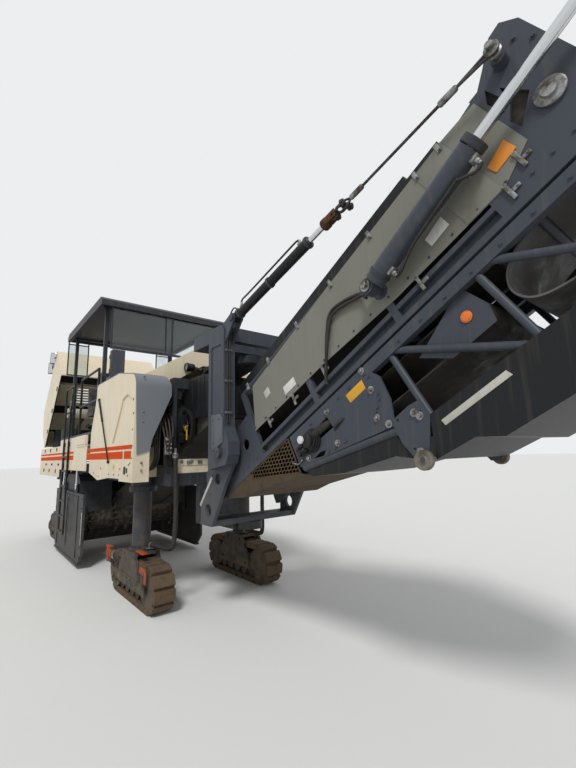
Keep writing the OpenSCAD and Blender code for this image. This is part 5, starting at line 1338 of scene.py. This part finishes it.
class PLANER_OT_stage(bpy.types.Operator):
    """Floor, even light, sun lamp and the photograph's camera"""
    bl_idname = "planer.stage"
    bl_label = "Stage"

    def execute(self, context):
        sizes = context.scene.planer_stage
        made = bmesh.new()
        bmesh.ops.create_grid(made, x_segments=1, y_segments=1, size=120)
        mesh = bpy.data.meshes.new("studio_floor")
        made.to_mesh(mesh)
        made.free()
        floor = bpy.data.objects.new("studio_floor", mesh)
        context.scene.collection.objects.link(floor)
        material = new_material("studio_floor_paint")[0]
        mesh.materials.append(close(material, {"Base Color": list(sizes.floor_colour) + [1],
                                               "Roughness": 0.9}))
        world = bpy.data.worlds.new("studio")
        context.scene.world = world
        world.use_nodes = True
        tree = world.node_tree
        tree.nodes.clear()
        # Camera, metal and glass see a pale backdrop, and the rest of the light is a weaker even sky
        camera_ray, glossy_ray, through_ray = (add(tree, "LightPath", out=f"Is {kind} Ray")
                                               for kind in ("Camera", "Glossy", "Transmission"))
        seen = add(tree, "Math", {0: camera_ray, 1: glossy_ray}, operation="MAXIMUM")
        seen = add(tree, "Math", {0: seen, 1: through_ray}, operation="MAXIMUM")
        sky = add(tree, "Background", {"Color": linear("#f2f4f7"), "Strength": sizes.sky_strength})
        backdrop = add(tree, "Background", {"Color": linear("#eceeef"), "Strength": 1.0})
        add(tree, "OutputWorld", {"Surface": add(tree, "MixShader", {0: seen, 1: sky, 2: backdrop})})
        lamp = bpy.data.lights.new("soft_sun", "SUN")
        lamp.energy = sizes.key_strength
        lamp.angle = math.radians(12)
        sun = bpy.data.objects.new("soft_sun", lamp)
        sun.rotation_euler = (math.radians(42), math.radians(8), math.radians(38))
        context.scene.collection.objects.link(sun)
        camera = bpy.data.cameras.new("photo_camera")
        camera.lens = sizes.lens
        camera.sensor_width = 36.0
        camera.clip_end = 400
        eye = bpy.data.objects.new("photo_camera", camera)
        # Found from the machine's straight edges in the photograph
        azimuth, pitch, roll = (math.radians(v) for v in (50.95, 9.98, -1.56))
        ahead = Vector((-math.sin(azimuth) * math.cos(pitch), math.cos(azimuth) * math.cos(pitch),
                        math.sin(pitch)))
        right = Vector((math.cos(azimuth), math.sin(azimuth), 0))
        up = right.cross(ahead)
        right, up = (right * math.cos(roll) + up * math.sin(roll),
                     up * math.cos(roll) - right * math.sin(roll))
        turned = Matrix((right, up, -ahead)).transposed().to_4x4()
        eye.matrix_world = Matrix.Translation((SHIFT + 5.716, -2.798, 1.85)) @ turned
        context.scene.collection.objects.link(eye)
        context.scene.camera = eye
        context.scene.view_settings.view_transform = "Standard"
        return {"FINISHED"}


class PLANER_PT_panel(bpy.types.Panel):
    """Lists the pieces and the stage"""
    bl_idname = "PLANER_PT_panel"
    bl_label = "Cold planer"
    bl_space_type = "VIEW_3D"
    bl_region_type = "UI"
    bl_category = "Cold planer"

    def draw(self, context):
        for step in STEPS:
            self.layout.operator(step.bl_idname)
        for name, group in GROUPS.items():
            for value in group.__annotations__:
                self.layout.prop(getattr(context.scene, name), value)


STEPS = (PLANER_OT_finishes, PLANER_OT_ropes, PLANER_OT_cylinders, PLANER_OT_panel_fittings,
         PLANER_OT_head_fittings, PLANER_OT_belts, PLANER_OT_foot_guard, PLANER_OT_leg_fittings,
         PLANER_OT_bay_fittings, PLANER_OT_gantry_fittings, PLANER_OT_body_fittings,
         PLANER_OT_platform_fittings, PLANER_OT_hood_fittings, PLANER_OT_engine_fittings,
         PLANER_OT_side_fittings, PLANER_OT_stage)
GROUPS = {"planer_ropes": PlanerRopes, "planer_fittings": PlanerFittings, "planer_guard": PlanerGuard,
          "planer_stage": PlanerStage}


def register():
    for each in (*GROUPS.values(), *STEPS, PLANER_PT_panel):
        bpy.utils.register_class(each)
    for name, group in GROUPS.items():
        setattr(bpy.types.Scene, name, PointerProperty(type=group))


def unregister():
    for name in GROUPS:
        delattr(bpy.types.Scene, name)
    for each in (PLANER_PT_panel, *reversed(STEPS), *GROUPS.values()):
        bpy.utils.unregister_class(each)


def main():
    register()
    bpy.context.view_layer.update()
    for step in STEPS:
        group, name = step.bl_idname.split(".")
        getattr(getattr(bpy.ops, group), name)()


if __name__ == "__main__":
    main()
